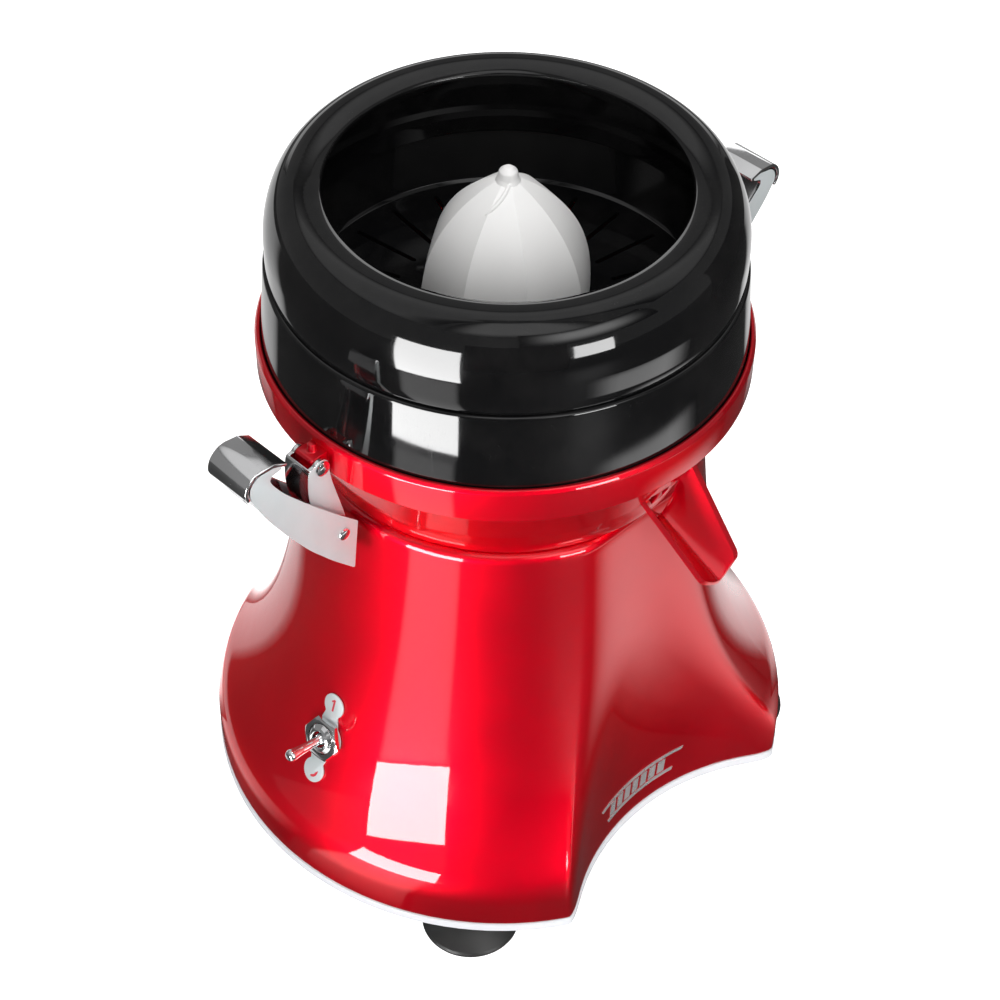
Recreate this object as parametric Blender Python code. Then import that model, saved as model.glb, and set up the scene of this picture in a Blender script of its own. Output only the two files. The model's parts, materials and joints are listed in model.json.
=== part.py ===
"""Bench-top citrus press juicer: bell-shaped motor base, juice bowl with spout, strainer,
splash ring, reamer cone, two latch levers and a toggle switch.

Frame: Z is the motor's axis, Z = 0 is the surface that the feet stand on, the juice spout
points along -Y and the two latches sit on the X axis. Lengths are in millimetres until
they reach a mesh, which is in metres.
"""
import math

import bmesh
import bpy
from mathutils import Matrix, Vector

MM = 0.001
GAP = 0.3                     # clearance between pieces that touch
TAU = 2.0 * math.pi
SPOUT_ANGLE = -math.pi / 2.0  # direction of the spout and of the glass recess

# Levels up the machine
FOOT_HEIGHT = 11.0
TRIM_TOP = 15.4
BODY_BOTTOM = TRIM_TOP + GAP
DECK_TOP = 175.5
BOWL_BOTTOM = 176.0
BOWL_BAND = 208.2
BOWL_LEDGE = 211.2
BOWL_RIM = 222.2
STRAINER_FLOOR = 227.0
SEAM = 251.3
CONE_BASE = 230.0
CONE_TOP = 285.0

# Base and its bell-shaped housing
NECK_RADIUS = 70.8
FLARE = 66.7                  # how far the bell would flare out at the trim's lower edge
FLARE_HEIGHT = 57.0           # height over which the flare falls by a factor of e
SHOULDER_BLEND = 5.0
SKIRT_RADIUS = 115.3          # where the bell turns into a short upright skirt
WALL = 3.2
SCOOP_RADIUS = 93.0           # the recess that a glass stands in
SCOOP_CENTRE = 173.0
SCOOP_LEAN = 0.055            # the recess leans towards the axis as it rises
RIDGE_BLEND = 9.0
DECK_EDGE = 4.0
ROUND_STEPS = 60              # facets round the base pieces

# Feet
FOOT_CIRCLE = 101.5
FOOT_ANGLES = (51.0, 145.0, 215.0, 309.0)
FOOT_RADIUS = 19.0
PLATE_SCREW_CIRCLE = 107.3
PLATE_SCREW_ANGLES = (80.0, 124.0, 236.0, 280.0)

# Motor
SHAFT_RADIUS = 6.0
SHAFT_TOP = 262.0
DRIVE_BOTTOM = 233.0
DRIVE_RADIUS = 5.0            # across the corners of the hexagonal drive
STATOR_RADIUS = 50.0
BRACKET_RADIUS = 58.0
MOTOR_BOLT_CIRCLE = 54.0
MOTOR_BOLT_ANGLES = (45.0, 135.0, 225.0, 315.0)
RUNNING_GAP = 0.12
STACK_LOW = 88.0              # laminations of the stator
STACK_HIGH = 128.0
STACK_BORE = 29.0
BRACKET_LOW = 63.0
BRACKET_HIGH = 157.0
BRACKET_INNER = 46.5
BEARING_SEAT = 11.3
FAN_RADIUS = 43.0

# Wiring
CORD_LEVEL = 30.0
CAPACITOR_PLACE = (78.0, 31.0)
CAPACITOR_RADIUS = 14.6
CAPACITOR_HALF_LENGTH = 30.0
CLIP_HALF_WIDTH = 6.0

# Bowl, strainer and splash ring
RIM_RADIUS = 89.5
BAND_RADIUS = 87.1
LIP_RADIUS = 63.0
SLOT_COUNT = 24
SLOT_RADII = (42.0, 68.0)
SLOT_WIDTH = 1.8

# Spout
SPOUT_START = 72.0
SPOUT_TIP = 106.8
SPOUT_WALL = 2.2
SPOUT_FLOOR = 182.6           # level of the trough where it starts
SPOUT_SLOPE = 0.47

# Reamer cone
CONE_RADIUS = 31.0
CONE_RIDGES = 8
CONE_WALL = 3.4

# Latches: distances from the Z axis and levels at the raised rest position
LUG_PIVOT = (93.6, 214.2)
LEVER_PIVOT = (88.1, 181.0)
LUG_HALF_WIDTH = 4.2
LINK_HALF_WIDTH = 6.0
LEVER_HALF_WIDTH = 9.3
SHEET = 1.4
LEVER_SWING = {"left": 0.0, "right": 14.0}  # degrees the grip hangs down at rest

# Toggle switch
SWITCH_LEVEL = 69.4
SWITCH_OFFSET = -1.2          # the switch sits this far towards the spout
BUSHING_RADIUS = 6.0
TOGGLE_TILT = math.radians(-12.0)
TOGGLE_PIVOT = 3.0            # height of the toggle's pivot over the housing's surface

COLOURS = {
    "red_paint": ((0.62, 0.0, 0.015, 1.0), 0.16, 0.35),
    "trim_grey": ((0.72, 0.74, 0.76, 1.0), 0.4, 0.0),
    "black_plastic": ((0.012, 0.012, 0.013, 1.0), 0.16, 0.0),
    "matte_black": ((0.03, 0.03, 0.03, 1.0), 0.55, 0.0),
    "rubber": ((0.02, 0.02, 0.02, 1.0), 0.6, 0.0),
    "chrome": ((0.78, 0.78, 0.79, 1.0), 0.1, 1.0),
    "steel": ((0.55, 0.55, 0.56, 1.0), 0.32, 1.0),
    "lamination": ((0.28, 0.28, 0.3, 1.0), 0.5, 0.9),
    "copper": ((0.72, 0.32, 0.13, 1.0), 0.35, 0.9),
    "aluminium": ((0.62, 0.63, 0.65, 1.0), 0.45, 1.0),
    "cone_white": ((0.72, 0.72, 0.7, 1.0), 0.45, 0.0),
    "fan_plastic": ((0.5, 0.5, 0.48, 1.0), 0.5, 0.0),
}


# ---------------------------------------------------------------- scene helpers

def clear_scene():
    for item in list(bpy.data.objects):
        bpy.data.objects.remove(item, do_unlink=True)


def material(name):
    found = bpy.data.materials.get(name)
    if found:
        return found
    colour, roughness, metallic = COLOURS[name]
    made = bpy.data.materials.new(name)
    made.use_nodes = True
    shader = made.node_tree.nodes["Principled BSDF"]
    shader.inputs["Base Color"].default_value = colour
    shader.inputs["Roughness"].default_value = roughness
    shader.inputs["Metallic"].default_value = metallic
    made.diffuse_color = colour
    return made


def empty(name, place=(0.0, 0.0, 0.0), parent=None):
    """A frame that a moving group hangs on, at `place` in world millimetres."""
    made = bpy.data.objects.new(name, None)
    bpy.context.scene.collection.objects.link(made)
    made.empty_display_size = 0.01
    attach(made, place, parent)
    return made


def attach(item, place, parent):
    world = Vector(place) * MM
    if parent is not None:
        item.parent = parent
        world = world - Vector(parent["place"])
    item.location = world
    item["place"] = Vector(place) * MM


def finish(name, bm, colour, parent=None, sharp=32.0):
    """Turn a bmesh in world millimetres into a node whose origin is its parent's."""
    origin = parent["place"] if parent is not None else Vector((0.0, 0.0, 0.0))
    origin = Vector(origin)
    bmesh.ops.remove_doubles(bm, verts=bm.verts, dist=1e-4)
    bmesh.ops.scale(bm, vec=(MM, MM, MM), verts=bm.verts)
    bmesh.ops.translate(bm, vec=-origin, verts=bm.verts)
    bmesh.ops.recalc_face_normals(bm, faces=bm.faces)
    mesh = bpy.data.meshes.new(name)
    bm.to_mesh(mesh)
    bm.free()
    mesh.shade_smooth()
    mesh.set_sharp_from_angle(angle=math.radians(sharp))
    made = bpy.data.objects.new(name, mesh)
    made.data.materials.append(material(colour))
    bpy.context.scene.collection.objects.link(made)
    if parent is not None:
        made.parent = parent
    return made


def boolean(target, tool_bm, operation):
    """Combine a node with a shape given as a bmesh in world millimetres."""
    parent = target.parent
    tool = finish(target.name + "_tool", tool_bm, "steel", parent)
    modifier = target.modifiers.new(operation.lower(), "BOOLEAN")
    modifier.operation = operation
    modifier.solver = "EXACT"
    modifier.object = tool
    bpy.context.view_layer.update()
    graph = bpy.context.evaluated_depsgraph_get()
    result = bpy.data.meshes.new_from_object(target.evaluated_get(graph))
    target.modifiers.clear()
    old = target.data
    target.data = result
    bpy.data.meshes.remove(old)
    bpy.data.objects.remove(tool, do_unlink=True)
    target.data.materials.clear()
    target.data.materials.append(bpy.data.materials[target["colour"]])


def node(name, bm, colour, parent=None, joins=(), cuts=(), adds=(), bores=(), sharp=32.0):
    """A sub-part: a shape joined, cut, then added to and bored, in that order."""
    made = finish(name, bm, colour, parent, sharp)
    made["colour"] = colour
    steps = ((joins, "UNION"), (cuts, "DIFFERENCE"), (adds, "UNION"), (bores, "DIFFERENCE"))
    for tools, operation in steps:
        for tool in tools:
            boolean(made, tool, operation)
    made.data.shade_smooth()
    made.data.set_sharp_from_angle(angle=math.radians(sharp))
    return made


# ---------------------------------------------------------------- shape helpers

def lathe(profile, segments=48, closed=True, centre=(0.0, 0.0)):
    """Spin a profile of (radius, level) points about a vertical axis."""
    bm = bmesh.new()
    points = [bm.verts.new((r, 0.0, z)) for r, z in profile]
    edges = [bm.edges.new(pair) for pair in zip(points, points[1:])]
    if closed:
        edges.append(bm.edges.new((points[-1], points[0])))
    bmesh.ops.spin(
        bm, geom=points + edges, cent=(0.0, 0.0, 0.0), axis=(0.0, 0.0, 1.0),
        dvec=(0.0, 0.0, 0.0), angle=TAU, steps=segments, use_merge=True,
    )
    bmesh.ops.remove_doubles(bm, verts=bm.verts, dist=1e-4)
    bmesh.ops.translate(bm, vec=(centre[0], centre[1], 0.0), verts=bm.verts)
    bmesh.ops.recalc_face_normals(bm, faces=bm.faces)
    return bm


def solid_lathe(profile, segments=24, centre=(0.0, 0.0)):
    """Spin a profile whose first and last points lie on the axis."""
    return lathe(profile, segments, closed=False, centre=centre)


def rod(radius, low, high, centre=(0.0, 0.0), segments=16):
    return solid_lathe([(0.0, low), (radius, low), (radius, high), (0.0, high)],
                       segments, centre)


def loft(sections):
    """Skin equal-length closed loops and cap both ends."""
    bm = bmesh.new()
    rings = [[bm.verts.new(point) for point in loop] for loop in sections]
    count = len(rings[0])
    for ring, after in zip(rings, rings[1:]):
        for i in range(count):
            j = (i + 1) % count
            bm.faces.new((ring[i], ring[j], after[j], after[i]))
    bm.faces.new(rings[0])
    bm.faces.new(rings[-1])
    bmesh.ops.recalc_face_normals(bm, faces=bm.faces)
    return bm


def wrap(sections):
    """Skin closed loops into a tube that closes on itself, such as a hollow wall."""
    bm = bmesh.new()
    rings = [[bm.verts.new(point) for point in loop] for loop in sections]
    count = len(rings[0])
    for k, ring in enumerate(rings):
        after = rings[(k + 1) % len(rings)]
        for i in range(count):
            j = (i + 1) % count
            bm.faces.new((ring[i], ring[j], after[j], after[i]))
    bmesh.ops.recalc_face_normals(bm, faces=bm.faces)
    return bm


def slab(outline, low, high):
    """A plate with an outline in X and Y between two levels."""
    return loft([[(x, y, low) for x, y in outline], [(x, y, high) for x, y in outline]])


def box(low, high):
    outline = [(low[0], low[1]), (high[0], low[1]), (high[0], high[1]), (low[0], high[1])]
    return slab(outline, low[2], high[2])


def side_plate(outline, low, high, side=1.0):
    """A plate with an outline in (distance from the axis, level), between two Y values."""
    return loft([[(side * r, low, z) for r, z in outline],
                 [(side * r, high, z) for r, z in outline]])


def transformed(bm, matrix):
    bmesh.ops.transform(bm, matrix=matrix, verts=bm.verts)
    bmesh.ops.recalc_face_normals(bm, faces=bm.faces)
    return bm


def merged(shapes):
    """Several shapes that don't meet, as one cutter."""
    whole = bmesh.new()
    for shape in shapes:
        mesh = bpy.data.meshes.new("part")
        shape.to_mesh(mesh)
        shape.free()
        whole.from_mesh(mesh)
        bpy.data.meshes.remove(mesh)
    return whole


def arc(centre, radius, start, end, steps):
    """Points on an arc, angles in degrees."""
    angles = [math.radians(start + (end - start) * i / steps) for i in range(steps + 1)]
    return [(centre[0] + radius * math.cos(a), centre[1] + radius * math.sin(a))
            for a in angles]


def polar(radius, degrees, level=None):
    """A point at an angle counted from the spout's direction."""
    a = SPOUT_ANGLE + math.radians(degrees)
    point = (radius * math.cos(a), radius * math.sin(a))
    return point if level is None else point + (level,)


# ---------------------------------------------------------------- housing surface

def blend_min(a, b, width):
    """The smaller of two values, rounded where they meet."""
    overlap = max(width - abs(a - b), 0.0) / width
    return min(a, b) - overlap * overlap * width / 4.0


def bell_radius(level):
    """Radius of the bell, leaving out the recess for the glass."""
    height = level - FOOT_HEIGHT
    flare = NECK_RADIUS + FLARE * math.exp(-height / FLARE_HEIGHT)
    return blend_min(SKIRT_RADIUS, flare, SHOULDER_BLEND)


def scoop_radius(angle, level):
    """Distance from the axis to the recess, along a direction counted from the spout."""
    centre = SCOOP_CENTRE - SCOOP_LEAN * (level - FOOT_HEIGHT)
    reach = SCOOP_RADIUS ** 2 - (centre * math.sin(angle)) ** 2
    if reach <= 0.0 or math.cos(angle) <= 0.0:
        return 2.0 * SKIRT_RADIUS
    return centre * math.cos(angle) - math.sqrt(reach)


def housing_radius(angle, level):
    outer = bell_radius(level)
    return blend_min(outer, scoop_radius(angle, level), RIDGE_BLEND)


def base_angles():
    """Directions counted from the spout, closer together across the recess."""
    fine = 24
    coarse = ROUND_STEPS - fine
    limit = math.radians(42.0)
    near = [-limit + 2.0 * limit * i / fine for i in range(fine)]
    far = [limit + (TAU - 2.0 * limit) * i / coarse for i in range(coarse)]
    return near + far


def base_outline(inset, level):
    """The base's outline at a level, moved inwards."""
    points = []
    for angle in base_angles():
        radius = housing_radius(angle, level) - inset
        a = SPOUT_ANGLE + angle
        points.append((radius * math.cos(a), radius * math.sin(a)))
    return points


def base_loop(inset, level, height=None):
    z = level if height is None else height
    return [(x, y, z) for x, y in base_outline(inset, level)]


# ---------------------------------------------------------------- base pieces

def switch_frame():
    """A frame on the housing under the -X latch: X sideways, Y up the slope, Z outwards."""
    level = SWITCH_LEVEL
    radius = bell_radius(level)
    slope = bell_radius(level + 1.0) - bell_radius(level - 1.0)
    up = Vector((-slope / 2.0, 0.0, 1.0)).normalized()
    out = Vector((-up.z, 0.0, up.x))
    side = up.cross(out)
    frame = Matrix((side, up, out)).transposed().to_4x4()
    frame.translation = Vector((-radius, SWITCH_OFFSET, level))
    return frame


def make_housing():
    levels = [BODY_BOTTOM, 30.0, 35.0, 42.0, 51.0, 61.0, 72.0, 84.0, 104.0, 134.0,
              DECK_TOP - DECK_EDGE]
    sections = [base_loop(0.0, z) for z in levels]
    for point in arc((DECK_EDGE, 0.0), DECK_EDGE, 150.0, 90.0, 2):
        lift = DECK_TOP - DECK_EDGE + point[1]
        sections.append(base_loop(point[0], DECK_TOP - DECK_EDGE, lift))
    seal_seat = [(13.2 * math.cos(SPOUT_ANGLE + a), 13.2 * math.sin(SPOUT_ANGLE + a))
                 for a in base_angles()]
    sections.append([(x, y, DECK_TOP) for x, y in seal_seat])
    sections.append([(x, y, DECK_TOP - WALL - 1.0) for x, y in seal_seat])
    for z in (DECK_TOP - WALL - 1.0, 104.0, 66.0, 44.0, 33.0, BODY_BOTTOM):
        sections.append(base_loop(WALL, z))
    bosses = [rod(4.4, BODY_BOTTOM, 36.0, polar(PLATE_SCREW_CIRCLE, a), 8)
              for a in PLATE_SCREW_ANGLES]
    frame = switch_frame()
    switch_hole = transformed(rod(BUSHING_RADIUS + GAP, -9.0, 6.0), frame)
    screw_holes = merged([rod(1.9, 10.0, 30.0, polar(PLATE_SCREW_CIRCLE, a), 6)
                          for a in PLATE_SCREW_ANGLES])
    turn = Matrix.Rotation(-math.pi / 2.0, 4, "X")
    cord_way = transformed(rod(6.0, 106.0, 120.0), turn)
    cord_seat = transformed(rod(9.3, 113.4, 120.0), turn)
    place = Matrix.Translation((0.0, 0.0, CORD_LEVEL))
    body = node("body_housing", wrap(sections), "red_paint", joins=bosses,
                cuts=(switch_hole, screw_holes, transformed(cord_way, place),
                      transformed(cord_seat, place)))
    return body


def make_base():
    make_housing()
    outer = base_loop(-0.3, FOOT_HEIGHT)
    inner = base_loop(WALL + 0.8, FOOT_HEIGHT)
    top = [[(x, y, TRIM_TOP) for x, y, _ in loop] for loop in (outer, inner)]
    node("base_trim_strip", wrap([outer, top[0], top[1], inner]), "trim_grey")
    plate = slab(base_outline(WALL + 1.2, FOOT_HEIGHT), FOOT_HEIGHT, FOOT_HEIGHT + 2.5)
    bores = [rod(2.9, 5.0, 20.0, polar(FOOT_CIRCLE, a), 8) for a in FOOT_ANGLES]
    bores += [rod(2.0, 5.0, 20.0, polar(PLATE_SCREW_CIRCLE, a), 6)
              for a in PLATE_SCREW_ANGLES]
    vents = []
    for x in range(-30, 31, 12):
        vents.append(box((x - 1.7, -30.0, 5.0), (x + 1.7, 30.0, 20.0)))
    node("base_plate", plate, "matte_black", cuts=(merged(bores + vents),))


def make_feet():
    top = FOOT_HEIGHT - GAP
    profile = [(0.0, 4.6), (2.9, 4.6), (2.9, top), (8.0, top), (8.8, 8.6), (12.5, 6.2)]
    profile += [(16.6, 3.4), (FOOT_RADIUS, 1.1), (FOOT_RADIUS, 0.0), (17.6, 0.0)]
    profile += [(12.0, 2.2), (0.0, 3.2)]
    stud_low = FOOT_HEIGHT + 2.5 + GAP
    for index, angle in enumerate(FOOT_ANGLES, 1):
        centre = polar(FOOT_CIRCLE, angle)
        node(f"suction_foot_{index}", solid_lathe(profile, 14, centre), "rubber")
        stud = [(0.0, 5.0), (2.5, 5.0), (2.5, stud_low), (4.6, stud_low)]
        stud += [(4.6, stud_low + 2.0), (0.0, stud_low + 2.8)]
        node(f"foot_screw_{index}", solid_lathe(stud, 6, centre), "steel")
    head = FOOT_HEIGHT - GAP
    for index, angle in enumerate(PLATE_SCREW_ANGLES, 1):
        screw = [(0.0, head - 2.0), (2.6, head - 2.0), (3.4, head)]
        screw += [(1.5, head), (1.5, 27.0), (0.0, 27.0)]
        centre = polar(PLATE_SCREW_CIRCLE, angle)
        node(f"plate_screw_{index}", solid_lathe(screw, 6, centre), "steel")


def make_cord_inlet():
    turn = Matrix.Translation((0.0, 0.0, CORD_LEVEL)) @ Matrix.Rotation(-math.pi / 2.0, 4, "X")
    profile = [(3.4, 104.0), (5.6, 104.0), (5.6, 113.7), (9.0, 113.7), (9.0, 114.6)]
    profile += [(6.6, 115.2), (3.4, 115.2)]
    node("cord_bushing", transformed(lathe(profile, 14), turn), "rubber")
    node("terminal_block", box((22.0, 70.0, 14.0), (52.0, 86.0, 30.0)), "fan_plastic")
    make_capacitor()


def make_capacitor():
    x, z = CAPACITOR_PLACE
    radius = CAPACITOR_RADIUS
    end = CAPACITOR_HALF_LENGTH
    level = Matrix.Translation((x, 0.0, z)) @ Matrix.Rotation(math.pi / 2.0, 4, "X")
    can = [(0.0, -end), (radius - 1.0, -end), (radius, 1.0 - end), (radius, end - 1.0),
           (radius - 1.0, end), (0.0, end)]
    node("run_capacitor", transformed(solid_lathe(can, 16), level), "aluminium")
    half = CLIP_HALF_WIDTH
    strap = arc((x, z), radius + 1.6, -20.0, 200.0, 12)
    strap += list(reversed(arc((x, z), radius + 0.3, -20.0, 200.0, 12)))
    clip = loft([[(a, -half, b) for a, b in strap], [(a, half, b) for a, b in strap]])
    tabs = box((x - 20.0, -half, 13.8), (x + 20.0, half, 15.2))
    legs = [box((x - 16.5, -half, 14.5), (x - 14.8, half, 27.5)),
            box((x + 14.8, -half, 14.5), (x + 16.5, half, 27.5))]
    node("capacitor_clip", clip, "steel", joins=[tabs] + legs)


def motor_bolt_holes():
    return merged([rod(2.4, 50.0, 180.0, polar(MOTOR_BOLT_CIRCLE, a), 8)
                   for a in MOTOR_BOLT_ANGLES])


def make_motor_frame():
    node("stator_core", lathe([(STACK_BORE, STACK_LOW), (STATOR_RADIUS, STACK_LOW),
                               (STATOR_RADIUS, STACK_HIGH), (STACK_BORE, STACK_HIGH)], 16),
         "lamination")
    under = STACK_LOW - GAP
    over = STACK_HIGH + GAP
    depth = 14.7
    for name, low, high in (("winding_lower", under - depth, under),
                            ("winding_upper", over, over + depth)):
        middle = (low + high) / 2.0
        ring = [(32.0, middle), (35.0, low), (43.0, low), (45.5, middle), (43.0, high),
                (35.0, high)]
        node(name, lathe(ring, 16), "copper")
    bore = BEARING_SEAT
    low = BRACKET_LOW
    high = BRACKET_HIGH
    lower = [(bore, low), (BRACKET_RADIUS, low), (BRACKET_RADIUS, under), (BRACKET_INNER, under)]
    lower += [(BRACKET_INNER, low + 4.0), (15.0, low + 4.0), (15.0, low + 9.0), (bore, low + 9.0)]
    node("bracket_lower", lathe(lower, 16), "aluminium", cuts=(motor_bolt_holes(),))
    upper = [(bore, high - 8.0), (15.0, high - 8.0), (15.0, high - 4.0)]
    upper += [(BRACKET_INNER, high - 4.0), (BRACKET_INNER, over), (BRACKET_RADIUS, over)]
    upper += [(BRACKET_RADIUS, high), (bore, high)]
    node("bracket_upper", lathe(upper, 16), "aluminium", cuts=(motor_bolt_holes(),))
    for name, bottom, top in (("bearing_lower", low + 0.5, low + 8.5),
                              ("bearing_upper", high - 7.8, high - 0.2)):
        node(name, lathe([(SHAFT_RADIUS + RUNNING_GAP, bottom), (bore - GAP, bottom),
                          (bore - GAP, top), (SHAFT_RADIUS + RUNNING_GAP, top)], 16),
             "steel")
    ceiling = DECK_TOP - WALL - 1.0 - GAP
    for index, angle in enumerate(MOTOR_BOLT_ANGLES, 1):
        centre = polar(MOTOR_BOLT_CIRCLE, angle)
        bolt = [(0.0, low - 4.0), (3.8, low - 4.0), (3.8, low - GAP), (2.0, low - GAP), (2.0, ceiling)]
        bolt += [(0.0, ceiling)]
        node(f"motor_bolt_{index}", solid_lathe(bolt, 6, centre), "steel")
    seal = [(SHAFT_RADIUS + RUNNING_GAP, 171.2), (12.9, 171.2), (12.9, 176.6), (9.0, 178.4),
            (SHAFT_RADIUS + RUNNING_GAP, 178.4)]
    node("shaft_seal", lathe(seal, 20), "rubber")
    node("bowl_gasket", lathe([(57.0, DECK_TOP + GAP), (63.0, DECK_TOP + GAP),
                               (63.0, 178.6), (57.0, 178.6)], 24), "rubber")


def make_rotor():
    frame = empty("rotor_axis")
    hole = SHAFT_RADIUS + GAP
    core = [(hole, STACK_LOW + 1.0), (STACK_BORE - 0.8, STACK_LOW + 1.0),
            (STACK_BORE - 0.8, STACK_HIGH - 1.0), (hole, STACK_HIGH - 1.0)]
    node("rotor_core", lathe(core, 16), "lamination", frame)
    shaft = solid_lathe([(0.0, 45.0), (5.4, 45.0), (SHAFT_RADIUS, 45.6),
                         (SHAFT_RADIUS, DRIVE_BOTTOM - 4.0), (0.0, DRIVE_BOTTOM - 4.0)], 16)
    drive = solid_lathe([(0.0, DRIVE_BOTTOM - 8.0), (DRIVE_RADIUS, DRIVE_BOTTOM - 8.0),
                         (DRIVE_RADIUS, SHAFT_TOP - 1.5), (DRIVE_RADIUS - 1.5, SHAFT_TOP),
                         (0.0, SHAFT_TOP)], 6)
    node("motor_shaft", shaft, "steel", frame, joins=(drive,))
    hub = lathe([(hole, 46.0), (11.0, 46.0), (11.0, 60.0), (hole, 60.0)], 16)
    disc = lathe([(10.0, 57.0), (FAN_RADIUS, 57.0), (FAN_RADIUS, 58.6), (10.0, 58.6)], 20)
    blades = []
    for i in range(6):
        blade = box((9.0, -0.9, 47.5), (FAN_RADIUS - 1.0, 0.9, 57.8))
        blades.append(transformed(blade, Matrix.Rotation(TAU * i / 6.0, 4, "Z")))
    node("cooling_fan", hub, "fan_plastic", frame, joins=[disc] + blades)


# ---------------------------------------------------------------- switch

def housing_patch(outline, low, high):
    """A thin plate that follows the housing's slope, its outline in the switch's frame."""
    frame = switch_frame()
    inverse = frame.inverted()

    def on_surface(x, y, lift):
        point = frame @ Vector((x, y, 0.0))
        radius = bell_radius(point.z)
        angle = math.atan2(point.y, point.x)
        skin = Vector((radius * math.cos(angle), radius * math.sin(angle), point.z))
        flat = inverse @ skin
        return frame @ Vector((x, y, flat.z + lift))

    return loft([[on_surface(x, y, low) for x, y in outline],
                 [on_surface(x, y, high) for x, y in outline]])


def legend_outline():
    """A round washer with a round tab up the slope and another down it."""
    tab, reach, hub = 4.9, 15.1, 7.8
    upper = arc((0.0, reach), tab, -50.0, 230.0, 12)
    left = arc((0.0, 0.0), hub, 125.0, 235.0, 4)
    lower = arc((0.0, -reach), tab, 130.0, 410.0, 12)
    right = arc((0.0, 0.0), hub, -55.0, 55.0, 4)
    return upper + left + lower + right


def make_switch():
    frame = switch_frame()
    hole = transformed(rod(BUSHING_RADIUS + GAP, -9.0, 9.0), frame)
    node("legend_plate", housing_patch(legend_outline(), 0.4, 0.95), "chrome", cuts=(hole,))
    nut = transformed(lathe([(BUSHING_RADIUS + GAP, 1.45), (8.7, 1.45), (9.1, 1.8), (9.1, 2.9),
                             (8.7, 3.3), (BUSHING_RADIUS + GAP, 3.3)], 6), frame)
    node("switch_nut", nut, "chrome", cuts=(transformed(rod(BUSHING_RADIUS + 0.1, 0.0, 8.0),
                                                        frame),))
    barrel = [(4.3, -4.2), (BUSHING_RADIUS, -4.2), (BUSHING_RADIUS, 3.6),
              (BUSHING_RADIUS - 0.8, 4.3), (4.3, 4.8)]
    node("switch_bushing", transformed(lathe(barrel, 16), frame), "chrome")
    node("switch_body", transformed(box((-7.0, -13.5, -26.0), (7.0, 13.5, -4.6)), frame),
         "matte_black")
    terminals = [box((-3.0, y - 0.5, -34.0), (3.0, y + 0.5, -26.3)) for y in (-9.0, 0.0, 9.0)]
    for index, blade in enumerate(terminals, 1):
        node(f"switch_terminal_{index}", transformed(blade, frame), "copper")
    pivot = frame @ Vector((0.0, 0.0, TOGGLE_PIVOT))
    axis = empty("toggle_axis", pivot)
    tilt = Matrix.Translation((0.0, 0.0, TOGGLE_PIVOT)) @ Matrix.Rotation(-TOGGLE_TILT, 4, "X")
    tilt = tilt @ Matrix.Translation((0.0, 0.0, -TOGGLE_PIVOT))
    bat = [(0.0, TOGGLE_PIVOT - 2.6), (1.8, TOGGLE_PIVOT - 2.0), (2.6, TOGGLE_PIVOT),
           (1.8, TOGGLE_PIVOT + 2.0), (1.7, 8.0), (2.0, 13.0), (2.5, 17.6), (2.3, 19.0),
           (1.3, 19.8), (0.0, 20.0)]
    node("toggle_lever", transformed(solid_lathe(bat, 12), frame @ tilt), "chrome", axis)


# ---------------------------------------------------------------- bowl

def spout_profile(distance):
    """Floor level, top level and half width of the trough at a distance from the axis."""
    t = (distance - SPOUT_START) / (SPOUT_TIP - SPOUT_START)
    floor = SPOUT_FLOOR - SPOUT_SLOPE * (distance - SPOUT_START)
    top = 199.5 - 27.5 * max(t - 0.12, 0.0) / 0.88
    half = 13.5 - 5.2 * t
    return floor, top, half


def trough_section(distance, grow, raise_top):
    """A V-like trough with a rounded bottom, as a closed loop facing along the spout."""
    floor, top, half = spout_profile(distance)
    steps = 6
    points = []
    for i in range(-steps, steps + 1):
        s = i / steps
        y = s * (half + grow)
        z = floor - grow + (top + raise_top - floor + grow) * abs(s) ** 1.35
        points.append((y, -distance, z))
    return points


def spout_outer():
    stations = (SPOUT_START + 6.5, 84.0, 92.0, 100.0, 104.0, SPOUT_TIP - 1.0)
    sections = [trough_section(d, SPOUT_WALL, 0.0) for d in stations]
    tip = trough_section(SPOUT_TIP, SPOUT_WALL - 0.9, -0.7)
    return loft(sections + [tip])


def spout_inner():
    stations = (SPOUT_START + 5.0, 84.0, 92.0, 100.0, 104.0, SPOUT_TIP + 3.0)
    return loft([trough_section(d, 0.0, 0.02) for d in stations])


def spout_windows():
    """Two three-sided openings through the bowl's wall, with a bar left between them."""
    shapes = []
    bar = 1.3
    for side in (-1.0, 1.0):
        low = [(side * bar, 183.2), (side * 2.2, 183.2), (side * 10.4, 196.5), (side * bar, 196.5)]
        shapes.append(loft([[(x, -71.0, z) for x, z in low], [(x, -86.5, z) for x, z in low]]))
    return shapes


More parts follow.
